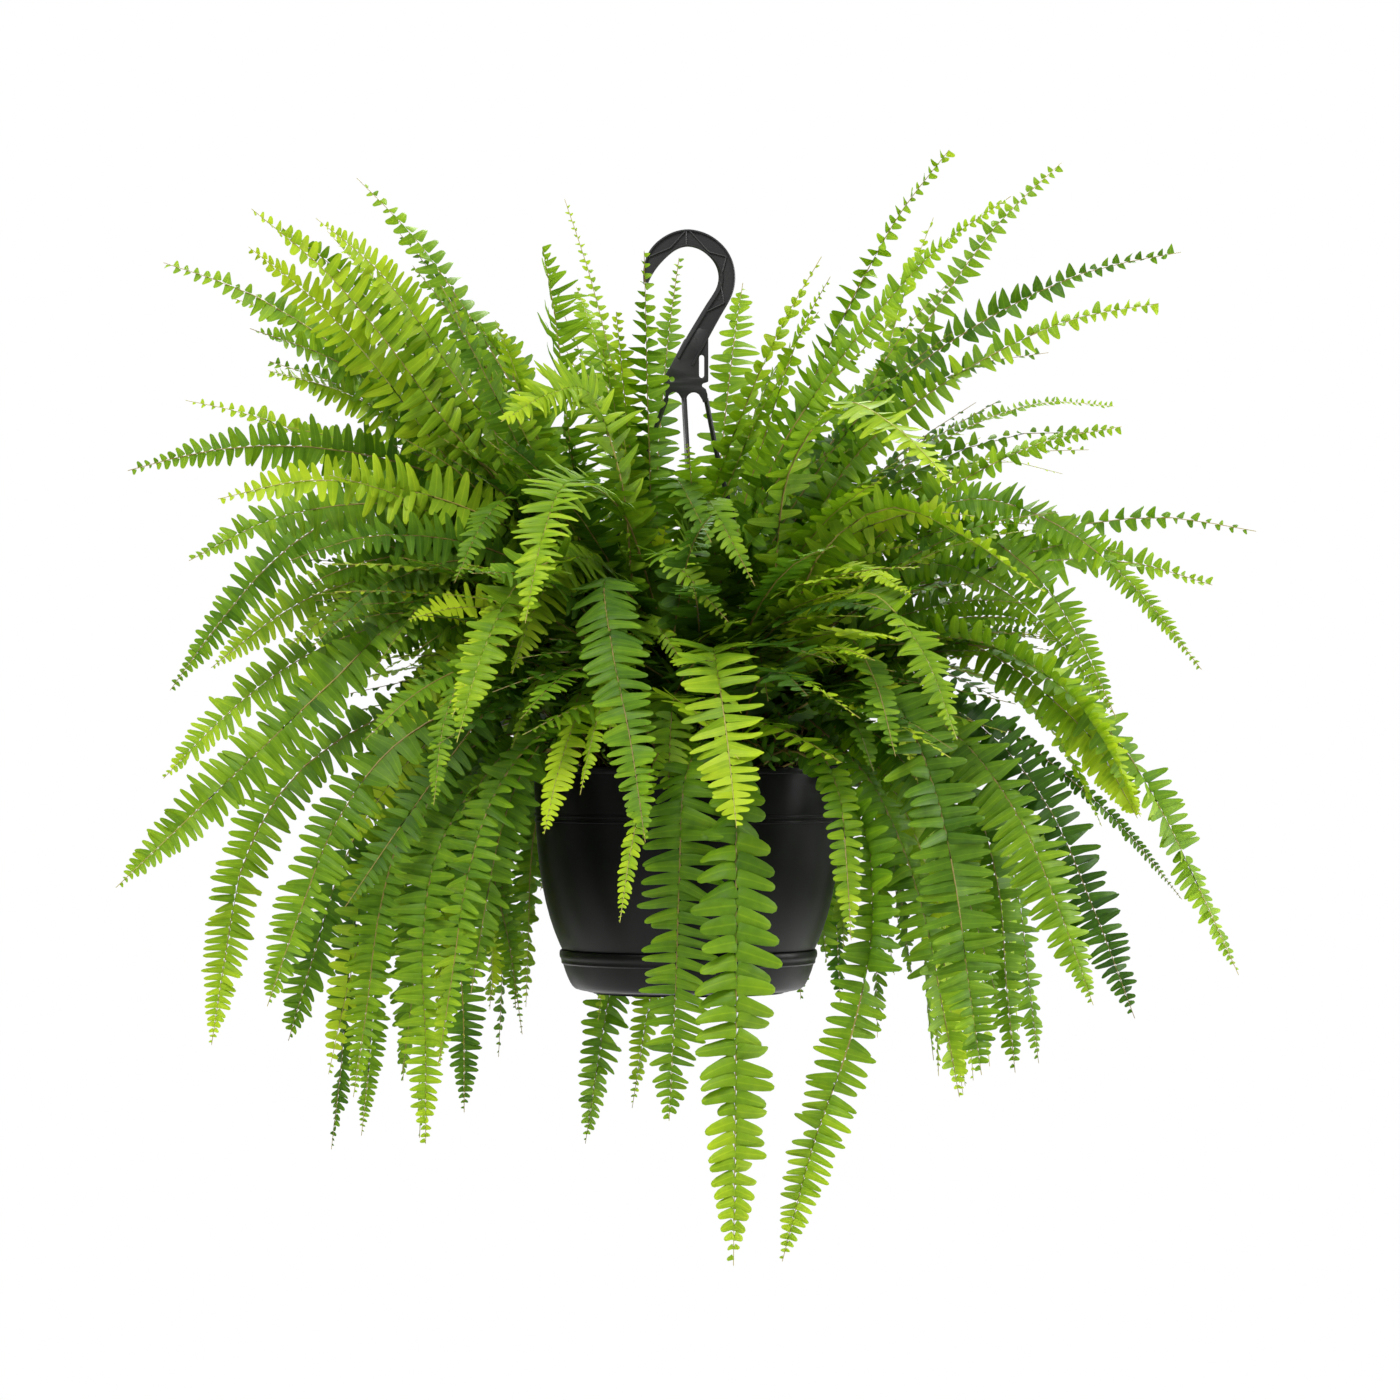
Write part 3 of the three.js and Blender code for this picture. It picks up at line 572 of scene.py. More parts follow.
def rib(frond, steps, sides):
    """A tapering tube along the frond, closed at its foot and drawn to a point at its tip."""
    shares = np.linspace(0, 1, steps)
    place, ahead, side, upper = frame_along(frond, shares)
    foot = place[0] - [0, 0, 0.012]
    rings = np.vstack([[foot], place])
    sideways = np.vstack([side[:1], side])
    up = np.vstack([upper[:1], upper])
    radius = np.r_[RIB_FOOT, RIB_FOOT + (RIB_TIP - RIB_FOOT) * shares**0.8] * frond["girth"]
    turn = np.arange(sides) * 2 * np.pi / sides
    ring = np.cos(turn)[None, :, None] * sideways[:, None] + np.sin(turn)[None, :, None] * up[:, None]
    corners = (rings[:, None] + ring * radius[:, None, None]).reshape(-1, 3)
    corners = np.vstack([corners, [foot], [place[-1] + ahead[-1] * 0.001]])
    first, last = len(corners) - 2, len(corners) - 1
    faces = []
    for k in range(steps):
        for s in range(sides):
            n = (s + 1) % sides
            a, b, c, d = k * sides + s, k * sides + n, (k + 1) * sides + n, (k + 1) * sides + s
            faces.append((a, d, c, b))
    for s in range(sides):
        n = (s + 1) % sides
        faces.append((first, s, n, n))
        faces.append((last, steps * sides + n, steps * sides + s, steps * sides + s))
    share = np.r_[np.repeat(np.r_[0, shares], sides), 0, 1]
    return corners, np.array(faces), share


# %% Places of the leaflets
FIRST_LEAFLET = 0.75 * STALK_SHARE
LAST_LEAFLET = 0.992


def pitch_at(frond, u):
    """Distance between leaflets, smaller towards the tip."""
    return frond["pitch"] * (1 - frond["gather"] * u**1.6)


def leaflet_feet(frond):
    """Shares of the length where the leaflets of one row stand."""
    shares, at = [], FIRST_LEAFLET
    while at < LAST_LEAFLET:
        shares.append(at)
        at += pitch_at(frond, past_stalk(at)) / frond["length"]
    return np.array(shares)


# %% Leaflets of a frond
STUNTED_SHARE = 0.03
STUNTED_LENGTH = 0.55
STEEPEST_LIFT = 1.4
RIB_GAP = 0.0003


def leaflets(frond, shape, rng):
    """Copies of the leaflet in two rows along the frond."""
    corners, faces, tones, spots = [], [], [], []
    (tongue, quads), (sickle, _) = shape
    base = tongue + (sickle - tongue) * frond["pointed"]
    x, y, z = base[:, 0][None], base[:, 1][None], base[:, 2][None]
    feet = leaflet_feet(frond)
    n = len(feet)
    for row, sign in enumerate((1, -1)):
        at = np.clip(feet + sign * 0.25 * frond["pitch"] / frond["length"], 0.02, 0.995)
        place, ahead, side, upper = frame_along(frond, at)
        u, share = past_stalk(at), blade_share(at, frond["taper"])
        jitter = rng.normal(0, 1, (7, n))
        phase = rng.uniform(0, 2 * np.pi, (n, 1))
        stunted = np.where(rng.random(n) < STUNTED_SHARE, STUNTED_LENGTH, 1)
        least = 0.11 + 0.19 * frond["spread"]
        long = frond["half"] * np.clip(share, least, 1) * (1 + frond["uneven"] * jitter[0]) * stunted
        wide = np.minimum(pitch_at(frond, u) * frond["broad"] * (1 + 0.05 * jitter[1]), long * 0.82)
        fold = frond["fold"][row]
        lift = frond["lift"] + fold[0] + (fold[1] - fold[0]) * u + (0.14 + 0.21 * frond["spread"]) * jitter[2]
        lift = np.clip(lift, -STEEPEST_LIFT, STEEPEST_LIFT)
        lean = frond["lean"] + 0.09 * jitter[3] + 0.22 * u**3
        twist = sign * frond["twist"] + (0.20 + 0.25 * frond["spread"]) * jitter[4]
        out = sign * side * np.cos(lift)[:, None] + upper * np.sin(lift)[:, None]
        e1 = unit(out * np.cos(lean)[:, None] + ahead * np.sin(lean)[:, None])
        e2 = unit(ahead - (ahead * e1).sum(1)[:, None] * e1)
        e3 = np.cross(e1, e2) * sign
        curl = frond["curl"] * (1 + 0.4 * jitter[5])
        wave = frond["wave"] * np.sin(2 * np.pi * x * 0.9 + phase) * x
        length_way = x * long[:, None]
        across_way = (y + frond["sickle"] * x**2) * wide[:, None]
        up_way = (z + frond["cup"] * y**2) * wide[:, None] + (curl[:, None] * x**2 + wave) * long[:, None]
        turn = twist[:, None] * (0.35 + 0.65 * x)
        c, s = np.cos(turn)[..., None], np.sin(turn)[..., None]
        new = (
            (place + sign * side * RIB_GAP)[:, None] + e1[:, None] * length_way[..., None]
            + (e2[:, None] * c + e3[:, None] * s) * across_way[..., None]
            + (e3[:, None] * c - e2[:, None] * s) * up_way[..., None]
        )
        corners.append(new.reshape(-1, 3))
        one = quads if sign > 0 else quads[:, ::-1]
        faces.append((one[None] + ((row * n + np.arange(n)) * len(base))[:, None, None]).reshape(-1, 4))
        tone = frond["tone"] + frond["fresh"] * u**1.6 + 0.055 * jitter[6]
        tones.append(np.repeat(tone, len(base)) + np.tile(0.12 * base[:, 0] - 0.04, n))
        spots.append(np.tile(base[:, :2] + [0, 0.5], (n, 1)))
    return np.vstack(corners), np.vstack(faces), np.concatenate(tones), np.vstack(spots)


# %% [markdown]
# ## Leaf and rib finish
# The blade of a fern is thin and a little glossy. Light from behind shines through it yellow-green, so the
# finish mixes a satin surface with a see-through glow. The colour comes from the tone attribute, broken up
# by fine mottling, with a paler midvein and faint side veins that also raise the surface.

# %% Leaf finish
LEAF_TONES = [
    (0.00, (0.016, 0.050, 0.004)), (0.30, (0.050, 0.125, 0.006)), (0.52, (0.115, 0.230, 0.009)),
    (0.74, (0.225, 0.365, 0.012)), (1.00, (0.430, 0.560, 0.020)),
]
GLOW_TONES = [
    (0.00, (0.10, 0.24, 0.010)), (0.30, (0.20, 0.40, 0.014)), (0.52, (0.34, 0.56, 0.018)),
    (0.74, (0.46, 0.68, 0.024)), (1.00, (0.66, 0.80, 0.040)),
]
GLOW_SHARE = 0.36
VEIN_THINNESS = 16
SIDE_VEINS = 70

leaf = Wiring(bpy.data.materials.new("fern_leaf"))
uv = leaf.add("UVMap")
uv.uv_map = "blade"
on_blade = leaf.add("SeparateXYZ", {0: uv.outputs["UV"]}).outputs
off_vein = leaf.maths("ABSOLUTE", leaf.maths("SUBTRACT", on_blade["Y"], 0.5))
vein = leaf.maths("SUBTRACT", 1, leaf.maths("MULTIPLY", off_vein, VEIN_THINNESS))
vein = leaf.maths("MAXIMUM", vein, 0)
mottling = leaf.maths("MULTIPLY_ADD", leaf.noise(130, 3), 0.24, -0.12)
shade = leaf.maths("ADD", leaf.maths("ADD", leaf.tone(), mottling), leaf.maths("MULTIPLY", vein, 0.14))
slant = leaf.maths("MULTIPLY", off_vein, -26)
side_veins = leaf.maths("SINE", leaf.maths("MULTIPLY_ADD", on_blade["X"], SIDE_VEINS, slant))
relief = leaf.maths("MULTIPLY_ADD", side_veins, 0.25, leaf.maths("MULTIPLY", vein, -1.0))
leaf.fill(leaf.skin, {
    "Base Color": leaf.ramp(shade, LEAF_TONES), "Roughness": 0.48, "Specular IOR Level": 0.20,
    "Normal": leaf.raised(relief, 0.35, 0.0003),
})
glow = leaf.add("BsdfTranslucent", {"Color": leaf.ramp(shade, GLOW_TONES)})
surface = leaf.blend(GLOW_SHARE, leaf.skin.outputs["BSDF"], glow.outputs["BSDF"])
leaf.fill(leaf.nodes["Material Output"], {"Surface": surface})
print("leaf finish has", len(leaf.nodes), "nodes")

# %% Rib finish
RIB_TONES = [
    (0.00, (0.100, 0.070, 0.016)), (0.35, (0.250, 0.190, 0.034)), (0.65, (0.400, 0.400, 0.060)),
    (1.00, (0.560, 0.600, 0.110)),
]

midrib = Wiring(bpy.data.materials.new("fern_rib"))
flecks = midrib.maths("MULTIPLY_ADD", midrib.noise(260), 0.3, -0.15)
colour = midrib.ramp(midrib.maths("ADD", midrib.tone(), flecks), RIB_TONES)
midrib.fill(midrib.skin, {"Base Color": colour, "Roughness": 0.5})
print("rib finish has", len(midrib.nodes), "nodes")

# %% [markdown]
# ## The fronds
# Each crown becomes one piece that stands for its solid. A real crown carries more fronds than a solid can:
# shorter sisters between the long ones, and short upright fronds that pack the heart of the plant and hide
# the soil. Low fronds hang with broad, touching leaflets, and those up in the air carry smaller, pointed
# leaflets that stand apart and twist. Fronds near the camera get the fine leaflet.

# %% Character of a frond
rng = np.random.default_rng(20)
# the "dark" tone is no age: it is painted shade for fronds deep in the heart of the plant
TONE_BY_AGE_AND_SHADE = {"young": 0.53, "grown": 0.39, "old": 0.28, "dark": 0.14}
FRESH_BY_AGE_AND_SHADE = {"young": 0.42, "grown": 0.38, "old": 0.24, "dark": 0.14}
OPEN_PITCH = 0.0130
WIDEST_HALF = 0.046
HIDDEN_PITCH = 1.14


def give_character(frond):
    """Sets how one frond's leaflets are spaced, shaped, turned and coloured."""
    path = along_curve(frond, np.linspace(0, 1, 80))
    frond["length"] = float(np.linalg.norm(np.diff(path, axis=0), axis=1).sum())
    x, y, z = frond["points"][-1]
    high, hanging = np.clip((z + 0.34) / 0.16, 0, 1), np.clip((-0.30 - z) / 0.25, 0, 1)
    crest = high * (abs(x - 0.01) < 0.16)
    front = (abs(x) < 0.13 and y < -0.07) * np.clip((-0.38 - z) / 0.1, 0, 1)
    airy = high * (1.0 if x > 0.10 else 0.45) * (0.5 if frond["age"] == "young" else 1)
    airy = frond.get("spread", airy)
    draw = rng.normal(0, 1, 10)
    spread = float(np.clip(airy + 0.15 * draw[0], 0, 1))
    loose = max(spread, 0.75 * high)
    half = min(frond["half"], WIDEST_HALF)
    close = 0.0070 + 0.15 * half
    pitch = (close + (OPEN_PITCH - close) * loose) * math.exp(0.08 * draw[3])
    frond.update({
        "spread": spread,
        "tone": TONE_BY_AGE_AND_SHADE[frond["age"]] + 0.05 * draw[1],
        "fresh": FRESH_BY_AGE_AND_SHADE[frond["age"]] * (1 + 0.3 * draw[2]) + 0.14 * front,
        "pitch": pitch * (HIDDEN_PITCH if frond["detail"] == "small" else 1),
        "broad": 1.07 - 0.14 * loose + 0.04 * draw[4],
        "pointed": float(np.clip(0.1 + 0.45 * spread + 0.15 * draw[5], 0, 1)),
        "lift": 0.02 + 0.14 * draw[6],
        "twist": (0.16 + 0.3 * spread) * draw[7],
        "lean": 0.10 + 0.07 * draw[8],
        "curl": -0.10 - 0.12 * spread + 0.05 * draw[9],
        "wave": rng.uniform(0.02, 0.06),
        "cup": rng.uniform(-0.1, 0.5) * spread,
        "uneven": 0.06 + 0.08 * spread,
        "sickle": rng.uniform(0.0, 0.2),
        "taper": (5.2 - 2.4 * airy + 1.6 * hanging) * rng.uniform(0.8, 1.25),
        "half": half * ((1 - 0.10 * hanging) * (1 + 0.15 * crest) * (1 - 0.22 * airy)),
        "gather": 0.58 - 0.28 * loose,
        "fold": [(0.22 * f, 0.22 * f) for f in rng.normal(0, 1, 2)],
    })
    frond["girth"] = 0.8 + 5 * frond["half"]
    frond.update(frond.get("seen", {}))
    return frond


# %% Sisters of the long fronds
RIM_Z = -0.446
RIM_RADIUS = 0.133
POT_GAP = 0.016
HIGH_TIP = -0.30
POT_HEIGHT = 0.198
# least and most size of each sister, as a share of the long frond, by where that frond's tip is
SISTER_SIZES = {
    "low": ((0.45, 0.65), (0.7, 0.92)),
    "right": ((0.45, 0.65), (0.6, 0.8), (0.75, 0.95)),
    "crest": ((0.5, 0.75),),
    "left": ((0.45, 0.6), (0.55, 0.75), (0.7, 0.85), (0.82, 0.98)),
}
SHOWN_ROOM = 0.045
LOW_TURN, HIGH_TURN = 0.35, 0.2
MOST_SAG = 0.07
SWAY = 0.045
# how near the camera a tip or a middle is, from which the frond gets the fine leaflet
NEAR_TIP, NEAR_MIDDLE = -0.09, -0.14


def clear_of_pot(points):
    """Moves points below the rim outwards until they clear the pot's wall."""
    reach = np.hypot(points[:, 0], points[:, 1])
    down = np.clip((RIM_Z - points[:, 2]) / POT_HEIGHT, 0, 1)
    wall = np.where(points[:, 2] < RIM_Z + 0.012, RIM_RADIUS - 0.006 * down + POT_GAP, 0)
    points = points.copy()
    points[:, :2] *= np.maximum(wall / np.maximum(reach, 1e-6), 1)[:, None]
    return points


def turned_by(angle, x, y):
    """A point, or a row of points, turned in its plane."""
    c, s = math.cos(angle), math.sin(angle)
    return c * x - s * y, s * x + c * y


def sister(frond, size, turn, sag, sway):
    """A smaller frond of the same crown, turned aside, that fills the room between the long ones."""
    root = frond["points"][0]
    x, y, z = ((frond["points"] - root) * size).T
    way = np.stack([*turned_by(turn, x, y), z], axis=1)
    x, y, z = frond["normals"].T
    normals = np.stack([*turned_by(turn, x, y), z], axis=1)
    way[:, 2] -= sag * frond["shares"] ** 2
    way[:, 0] += sway * frond["shares"] ** 1.5
    points = root + way
    points[1:] = clear_of_pot(points[1:])
    age = rng.choice(["young", "grown", "grown", "old", "old", "old"])
    return {
        "crown": frond["crown"], "age": age, "points": points, "normals": normals,
        "shares": frond["shares"], "half": frond["half"] * rng.uniform(0.75, 1.0),
    }


def part_of_plant(tip):
    """Where on the plant a frond's tip is."""
    if tip[2] <= HIGH_TIP:
        return "low"
    if tip[0] >= 0.10:
        return "right"
    return "crest" if tip[0] > -0.03 else "left"


def in_the_way(frond):
    """Whether a sister would hide the pot or the hook, or reach out past the long fronds."""
    x, y, z = frond["points"].T
    before_pot = (np.abs(x) < 0.15) & (y < -0.08) & (z < -0.47)
    before_hook = (x > -0.045) & (x < 0.045) & (z > -0.15) & (y < 0.03)
    far_out = (np.abs(x) > 0.37) | (y < -0.34) | (y > 0.37)
    return bool((before_pot | before_hook | far_out).any())


def hides_shown(frond):
    """Whether a frond passes before one of those that stand out in the photograph."""
    for other in shown:
        outer = other["points"][None, len(other["points"]) // 2:]
        apart = frond["points"][:, None, ::2] - outer[..., ::2]
        nearer = frond["points"][:, None, 1] < outer[..., 1] + 0.01
        if (nearer & (np.linalg.norm(apart, axis=2) < SHOWN_ROOM)).any():
            return True
    return False


for frond in fronds:
    middle, tip = frond["points"][len(frond["points"]) // 2], frond["points"][-1]
    frond["detail"] = "fine" if tip[1] < NEAR_TIP or middle[1] < NEAR_MIDDLE else "plain"
    give_character(frond)
for frond in beside:
    frond["detail"] = "plain"
    give_character(frond)
sisters = []
for frond in fronds:
    where = part_of_plant(frond["points"][-1])
    turn = LOW_TURN if where == "low" else HIGH_TURN
    for least, most in SISTER_SIZES[where]:
        sway = 0 if where == "low" else rng.normal(0, SWAY)
        new = sister(frond, rng.uniform(least, most), rng.normal(0, turn), rng.uniform(0, MOST_SAG), sway)
        if not in_the_way(new) and not hides_shown(new):
            new["detail"] = "plain" if new["points"][-1, 1] < -0.05 else "small"
            sisters.append(give_character(new))
print(len(sisters), "sister fronds added")

# %% Upright fronds of the heart
HEART_FRONDS = 3
INNER_REACH = 0.045
INNER_EXTRA = 2
TALL_FRONDS = 3
HEART_REACH = 0.33
HEART_TRIES = 6


def crown_root(name):
    """Where a crown leaves the soil, and its distance from the pot's axis."""
    root = np.mean([f["points"][0] for f in fronds if f["crown"] == name], axis=0)
    return root, math.hypot(root[0], root[1])


def heart_frond(crown, count):
    """A short frond that rises from the crown and arches over, or a tall one that stands up in the middle."""
    root, reach = crown_root(crown)
    bearing = math.atan2(root[1], root[0]) + rng.normal(0, 0.8)
    out = np.array([math.cos(bearing), math.sin(bearing), 0])
    if reach < INNER_REACH and count < TALL_FRONDS:
        length, steep = rng.uniform(0.30, 0.36), rng.uniform(1.1, 1.3)
    else:
        length = rng.uniform(0.20, 0.36)
        steep = float(np.clip(1.1 - 1.8 * reach - abs(rng.normal(0, 0.28)), 0.3, 1.1))
    t = np.linspace(0, 1, 7)
    flat = length * (0.25 * t + (0.85 - 0.35 * steep) * t**2)
    flat *= min(1.0, (HEART_REACH - reach) / flat[-1])
    rise = length * (t * (0.75 + 0.45 * steep) - (0.95 - 0.45 * steep) * t**2)
    points = root + out * flat[:, None] + np.array([0, 0, 1]) * rise[:, None]
    normals = unit(np.cross([out[1], -out[0], 0], unit(np.gradient(points, axis=0))))
    # two of five heart fronds get the "dark" tone, painted shade inside the plant
    age = rng.choice(["young", "grown", "old", "dark", "dark"])
    return {
        "crown": crown, "age": age, "points": points, "shares": t, "normals": normals,
        "half": rng.uniform(0.020, 0.031), "spread": rng.uniform(0.0, 0.7), "detail": "small",
    }


heart = []
for name in crowns:
    inner = crown_root(name)[1] < INNER_REACH
    for count in range(HEART_FRONDS + INNER_EXTRA * inner):
        for _ in range(HEART_TRIES):
            new = heart_frond(name, count)
            if not hides_shown(new):
                heart.append(give_character(new))
                break
print(len(heart), "fronds fill the heart")

# %% Building the crowns
RIB_MAKE = {"fine": (28, 5), "plain": (16, 4), "small": (10, 3)}


def crown_piece(name):
    """One mesh with the ribs and leaflets of all fronds of a crown."""
    corners, faces, tones, spots, slots = [], [], [], [], []
    total = 0
    for frond in [f for f in fronds + beside + sisters + heart if f["crown"] == name]:
        tube, tube_faces, share = rib(frond, *RIB_MAKE[frond["detail"]])
        blades, blade_faces, tone, spot = leaflets(frond, SHAPES[frond["detail"]], rng)
        corners += [tube, blades]
        faces += [tube_faces + total, blade_faces + total + len(tube)]
        tones += [frond["tone"] * (0.25 + 0.85 * share), tone]
        spots += [np.c_[share, np.full(len(share), 0.5)], spot]
        slots += [np.ones(len(tube_faces), int), np.zeros(len(blade_faces), int)]
        total += len(tube) + len(blades)
    corners, faces = np.vstack(corners), np.vstack(faces)
    tones, spots, slots = np.concatenate(tones), np.vstack(spots), np.concatenate(slots)
    mesh = bpy.data.meshes.new(name + "_leaves")
    loops = [list(dict.fromkeys(face)) for face in faces.tolist()]
    mesh.from_pydata(corners.tolist(), [], loops)
    mesh.polygons.foreach_set("material_index", slots.astype(np.int32))
    mesh.attributes.new("tone", "FLOAT", "POINT").data.foreach_set("value", tones.astype(np.float32))
    blade = mesh.uv_layers.new(name="blade")
    owners = np.empty(len(mesh.loops), np.int32)
    mesh.loops.foreach_get("vertex_index", owners)
    blade.data.foreach_set("uv", spots[owners].astype(np.float32).ravel())
    mesh.materials.append(leaf.owner)
    mesh.materials.append(midrib.owner)
    mesh.shade_smooth()
    mesh.set_sharp_from_angle(angle=math.radians(75))
    mesh.update()
    piece = put_in_scene(name + "_leaves", mesh)
    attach(piece, "root")
    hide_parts(name)
    return sum(len(loop) - 2 for loop in loops)


triangles = [crown_piece(name) for name in crowns]
for detail in SHAPES:
    kept = [f for f in fronds + beside + sisters + heart if f["detail"] == detail]
    print(len(kept), detail, "fronds with", sum(2 * len(leaflet_feet(f)) for f in kept), "leaflets")
print("leaves have", sum(triangles), "triangles, most in one crown", max(triangles))

# %% [markdown]
# ## Black plastic
# Pot, tray and hanger are moulded in one black plastic with a satin skin. It is almost even in colour, with
# a fine grain in the gloss and a trace of dust, so a soft noise moves the roughness more than the colour. The
# thin ribs of the hook get a lighter shade of it, a painted highlight along their edges.

# %% Black plastic finish
def black_plastic(name, shade, roughness, gloss, grain):
    plastic = Wiring(bpy.data.materials.new(name))
    cloud = plastic.noise(14, 5)
    clean, dusty = (shade, shade, shade * 1.06), (shade * 1.9, shade * 1.85, shade * 1.8)
    plastic.fill(plastic.skin, {
        "Base Color": plastic.ramp(cloud, [(0.35, clean), (0.8, dusty)]),
        "Roughness": plastic.maths("MULTIPLY_ADD", cloud, 0.16, roughness - 0.08),
        "Specular IOR Level": gloss,
        "Normal": plastic.raised(plastic.noise(900), grain, 0.0002),
    })
    return plastic.owner


pot_finish = black_plastic("pot_plastic", 0.0015, 0.36, 0.15, 0.25)
hanger_finish = black_plastic("hanger_plastic", 0.0105, 0.40, 0.45, 0.30)
# the hook's thin ribs get a lighter plastic than the band: a painted highlight along the ribs
rib_highlight_finish = black_plastic("rib_painted_highlight_plastic", 0.030, 0.40, 0.50, 0.30)

# %% [markdown]
# ## Pot and drip tray
# Both are thin bodies turned about the pot's axis. One point is drawn along the wall's profile by extruding
# it, out and back in again so that the wall has its thickness, and the profile is spun once round. The pot
# has a rolled rim and two thin raised rings below it, and the tray clips on from below with a stepped lip.

# %% Turning a profile
TURN_STEPS = 96
MOULDED_ANGLE = math.radians(32)


def turned(name, profile, finish):
    """A body of revolution about +Z from [radius, height] pairs in millimetres, from pole to pole."""
    nothing_selected()
    bpy.ops.mesh.primitive_plane_add(size=0.01)
    piece = bpy.context.object
    piece.name = name
    edit_all()
    bpy.ops.mesh.select_mode(type="VERT")
    bpy.ops.mesh.merge(type="CENTER")
    points = [(r / 1000, z / 1000) for r, z in profile]
    bpy.ops.transform.translate(value=(points[0][0], 0, points[0][1]))
    for (r, z), (next_r, next_z) in zip(points, points[1:]):
        bpy.ops.mesh.extrude_region_move(TRANSFORM_OT_translate={"value": (next_r - r, 0, next_z - z)})
    bpy.ops.mesh.select_all(action="SELECT")
    bpy.ops.mesh.spin(steps=TURN_STEPS, angle=math.tau, center=(0, 0, 0), axis=(0, 0, 1))
    bpy.ops.mesh.select_all(action="SELECT")
    bpy.ops.mesh.remove_doubles(threshold=2e-5)
    edit_done()
    bpy.ops.object.shade_smooth_by_angle(angle=MOULDED_ANGLE)
    piece.data.materials.append(finish)
    print(name, "has", len(piece.data.polygons), "faces")
    return piece


def pot_radius(z):
    """Radius of the pot's wall at a height, both in millimetres."""
    depth = (RIM_Z - z / 1000) / POT_HEIGHT
    return 133 - 6 * depth - 44 * depth**3.6


# %% Pot
RING_PROUD = 1.1
POT_WALL = 1.8
# places on the rings, from the upper edge down: height over the lower edge and share of how proud they stand
RING_SECTION = [(2.4, 0), (2.0, 0.8), (1.2, 1), (0.4, 0.8), (0, 0)]


def on_wall(heights, within=0):
    """Points of the pot's profile at these heights."""
    return [(pot_radius(z) - within, z) for z in heights]


def ring(z):
    """A thin raised ring round the wall, with its lower edge at z."""
    return [(pot_radius(z) + RING_PROUD * proud, z + rise) for rise, proud in RING_SECTION]


rim = [(133.4, -446.0), (134.5, -446.3), (135.0, -447.2), (135.0, -450.9), (134.6, -451.8), (132.9, -452.2)]
wall = on_wall((-505, -520, -535, -550, -564, -577, -588, -598, -606, -613, -619))
base = [(94, -628), (84, -634), (82, -636), (82, -641.6), (80, -641.6), (80, -634), (0, -634)]
pot_outside = rim + on_wall((-458, -472, -484)) + ring(-489.6) + ring(-494.2) + wall + base
pot_inside = [(0, -632.2), (80, -632.2)] + on_wall((-619, -606, -588, -564, -535, -505, -472, -450), POT_WALL)
pot_inside += [(131.4, -446.8), (132.2, -446.1)]
pot = turned("moulded_pot", pot_inside + pot_outside, pot_finish)
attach(pot, "root")
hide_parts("pot")

# %% Drip tray
tray_round = [
    (0, -638.9), (84.0, -638.9), (84.8, -640.1), (87.2, -640.1), (88.2, -638.9), (93.6, -638.7),
    (97.4, -637.6), (99.8, -635.4), (101.8, -632.2), (104.0, -627.6), (106.0, -622.4), (107.8, -616.6),
    (108.6, -616.2), (109.2, -615.4), (109.3, -613.8), (109.5, -612.4), (110.0, -611.4), (110.7, -610.2),
    (110.9, -608.4), (110.8, -606.4), (110.4, -605.0), (109.9, -604.5), (109.5, -604.6), (106.2, -612.0),
    (102.0, -622.0), (98.4, -632.6), (95.4, -635.8), (90.0, -637.2), (0, -637.2),
]
tray = turned("moulded_drip_tray", tray_round, pot_finish)
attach(tray, "root")
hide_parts("drip_tray")

# %% [markdown]
# ## Hanger
# The hook is a curved band with a sunken face, stiffened by thin ribs in a zigzag. It runs down as a raised
# shank over a flat plate with a peg hole and a slot, and three straps with a ridge go on to clips round the
# rim. The band is a grid laid along the hook's line, given its depth by extruding the border and mirroring.
# The plate and the clips are flat outlines with an eased edge.

# %% Hook band
# centre line and width of the hook from its tip, over the top and down the shank: x, z, width in millimetres
HOOK_LINE = [
    (-36.6, -31.0, 4.2), (-35.2, -24.0, 7.6), (-32.6, -16.5, 11.2), (-28.4, -9.0, 14.0), (-22.6, -2.4, 15.0),
    (-16.0, 2.6, 14.8), (-8.6, 6.0, 14.6), (-1.0, 7.3, 14.6), (7.0, 6.2, 14.6), (14.6, 3.2, 14.8),
    (21.4, -1.6, 15.0), (27.2, -8.0, 15.0), (31.2, -15.6, 14.8), (33.0, -23.4, 14.6), (32.8, -31.4, 14.6),
    (30.6, -39.2, 14.8), (27.0, -46.0, 15.2), (22.6, -53.0, 15.6), (18.0, -60.8, 16.0), (13.4, -68.8, 16.4),
    (8.8, -76.8, 16.8), (4.2, -84.8, 17.0), (-0.4, -92.8, 17.2), (-3.4, -98.6, 17.2),
]
HOOK_HALF_DEPTH = 4.0
WEB_HALF = 1.7
BAND_ROWS = 70


def smooth_line(rows, count):
    """Points spaced evenly along a smooth curve through the rows."""
    rows = np.array(rows, float)
    run = np.r_[0, np.cumsum(np.linalg.norm(np.diff(rows[:, :2], axis=0), axis=1))]
    return smooth_curve(run, rows, np.gradient(rows, run, axis=0), np.linspace(0, run[-1], count))


def band_row(width, lit):
    """Steps across the band from its outer edge: offset from the middle and depth, lit is the inner bevel."""
    half, bevel = width / 2, 0.6 + 2.2 * lit
    wall = min(1.5, width * 0.12)
    inner = half - bevel
    brink = inner - wall * 0.6
    return [
        (-half, HOOK_HALF_DEPTH - 0.6), (-half + 0.6, HOOK_HALF_DEPTH), (-half + wall, HOOK_HALF_DEPTH),
        (-half + wall + 0.3, WEB_HALF), (brink - 0.3, WEB_HALF), (brink, HOOK_HALF_DEPTH),
        (inner, HOOK_HALF_DEPTH), (half, HOOK_HALF_DEPTH - 0.6 - 2.4 * lit),
    ]


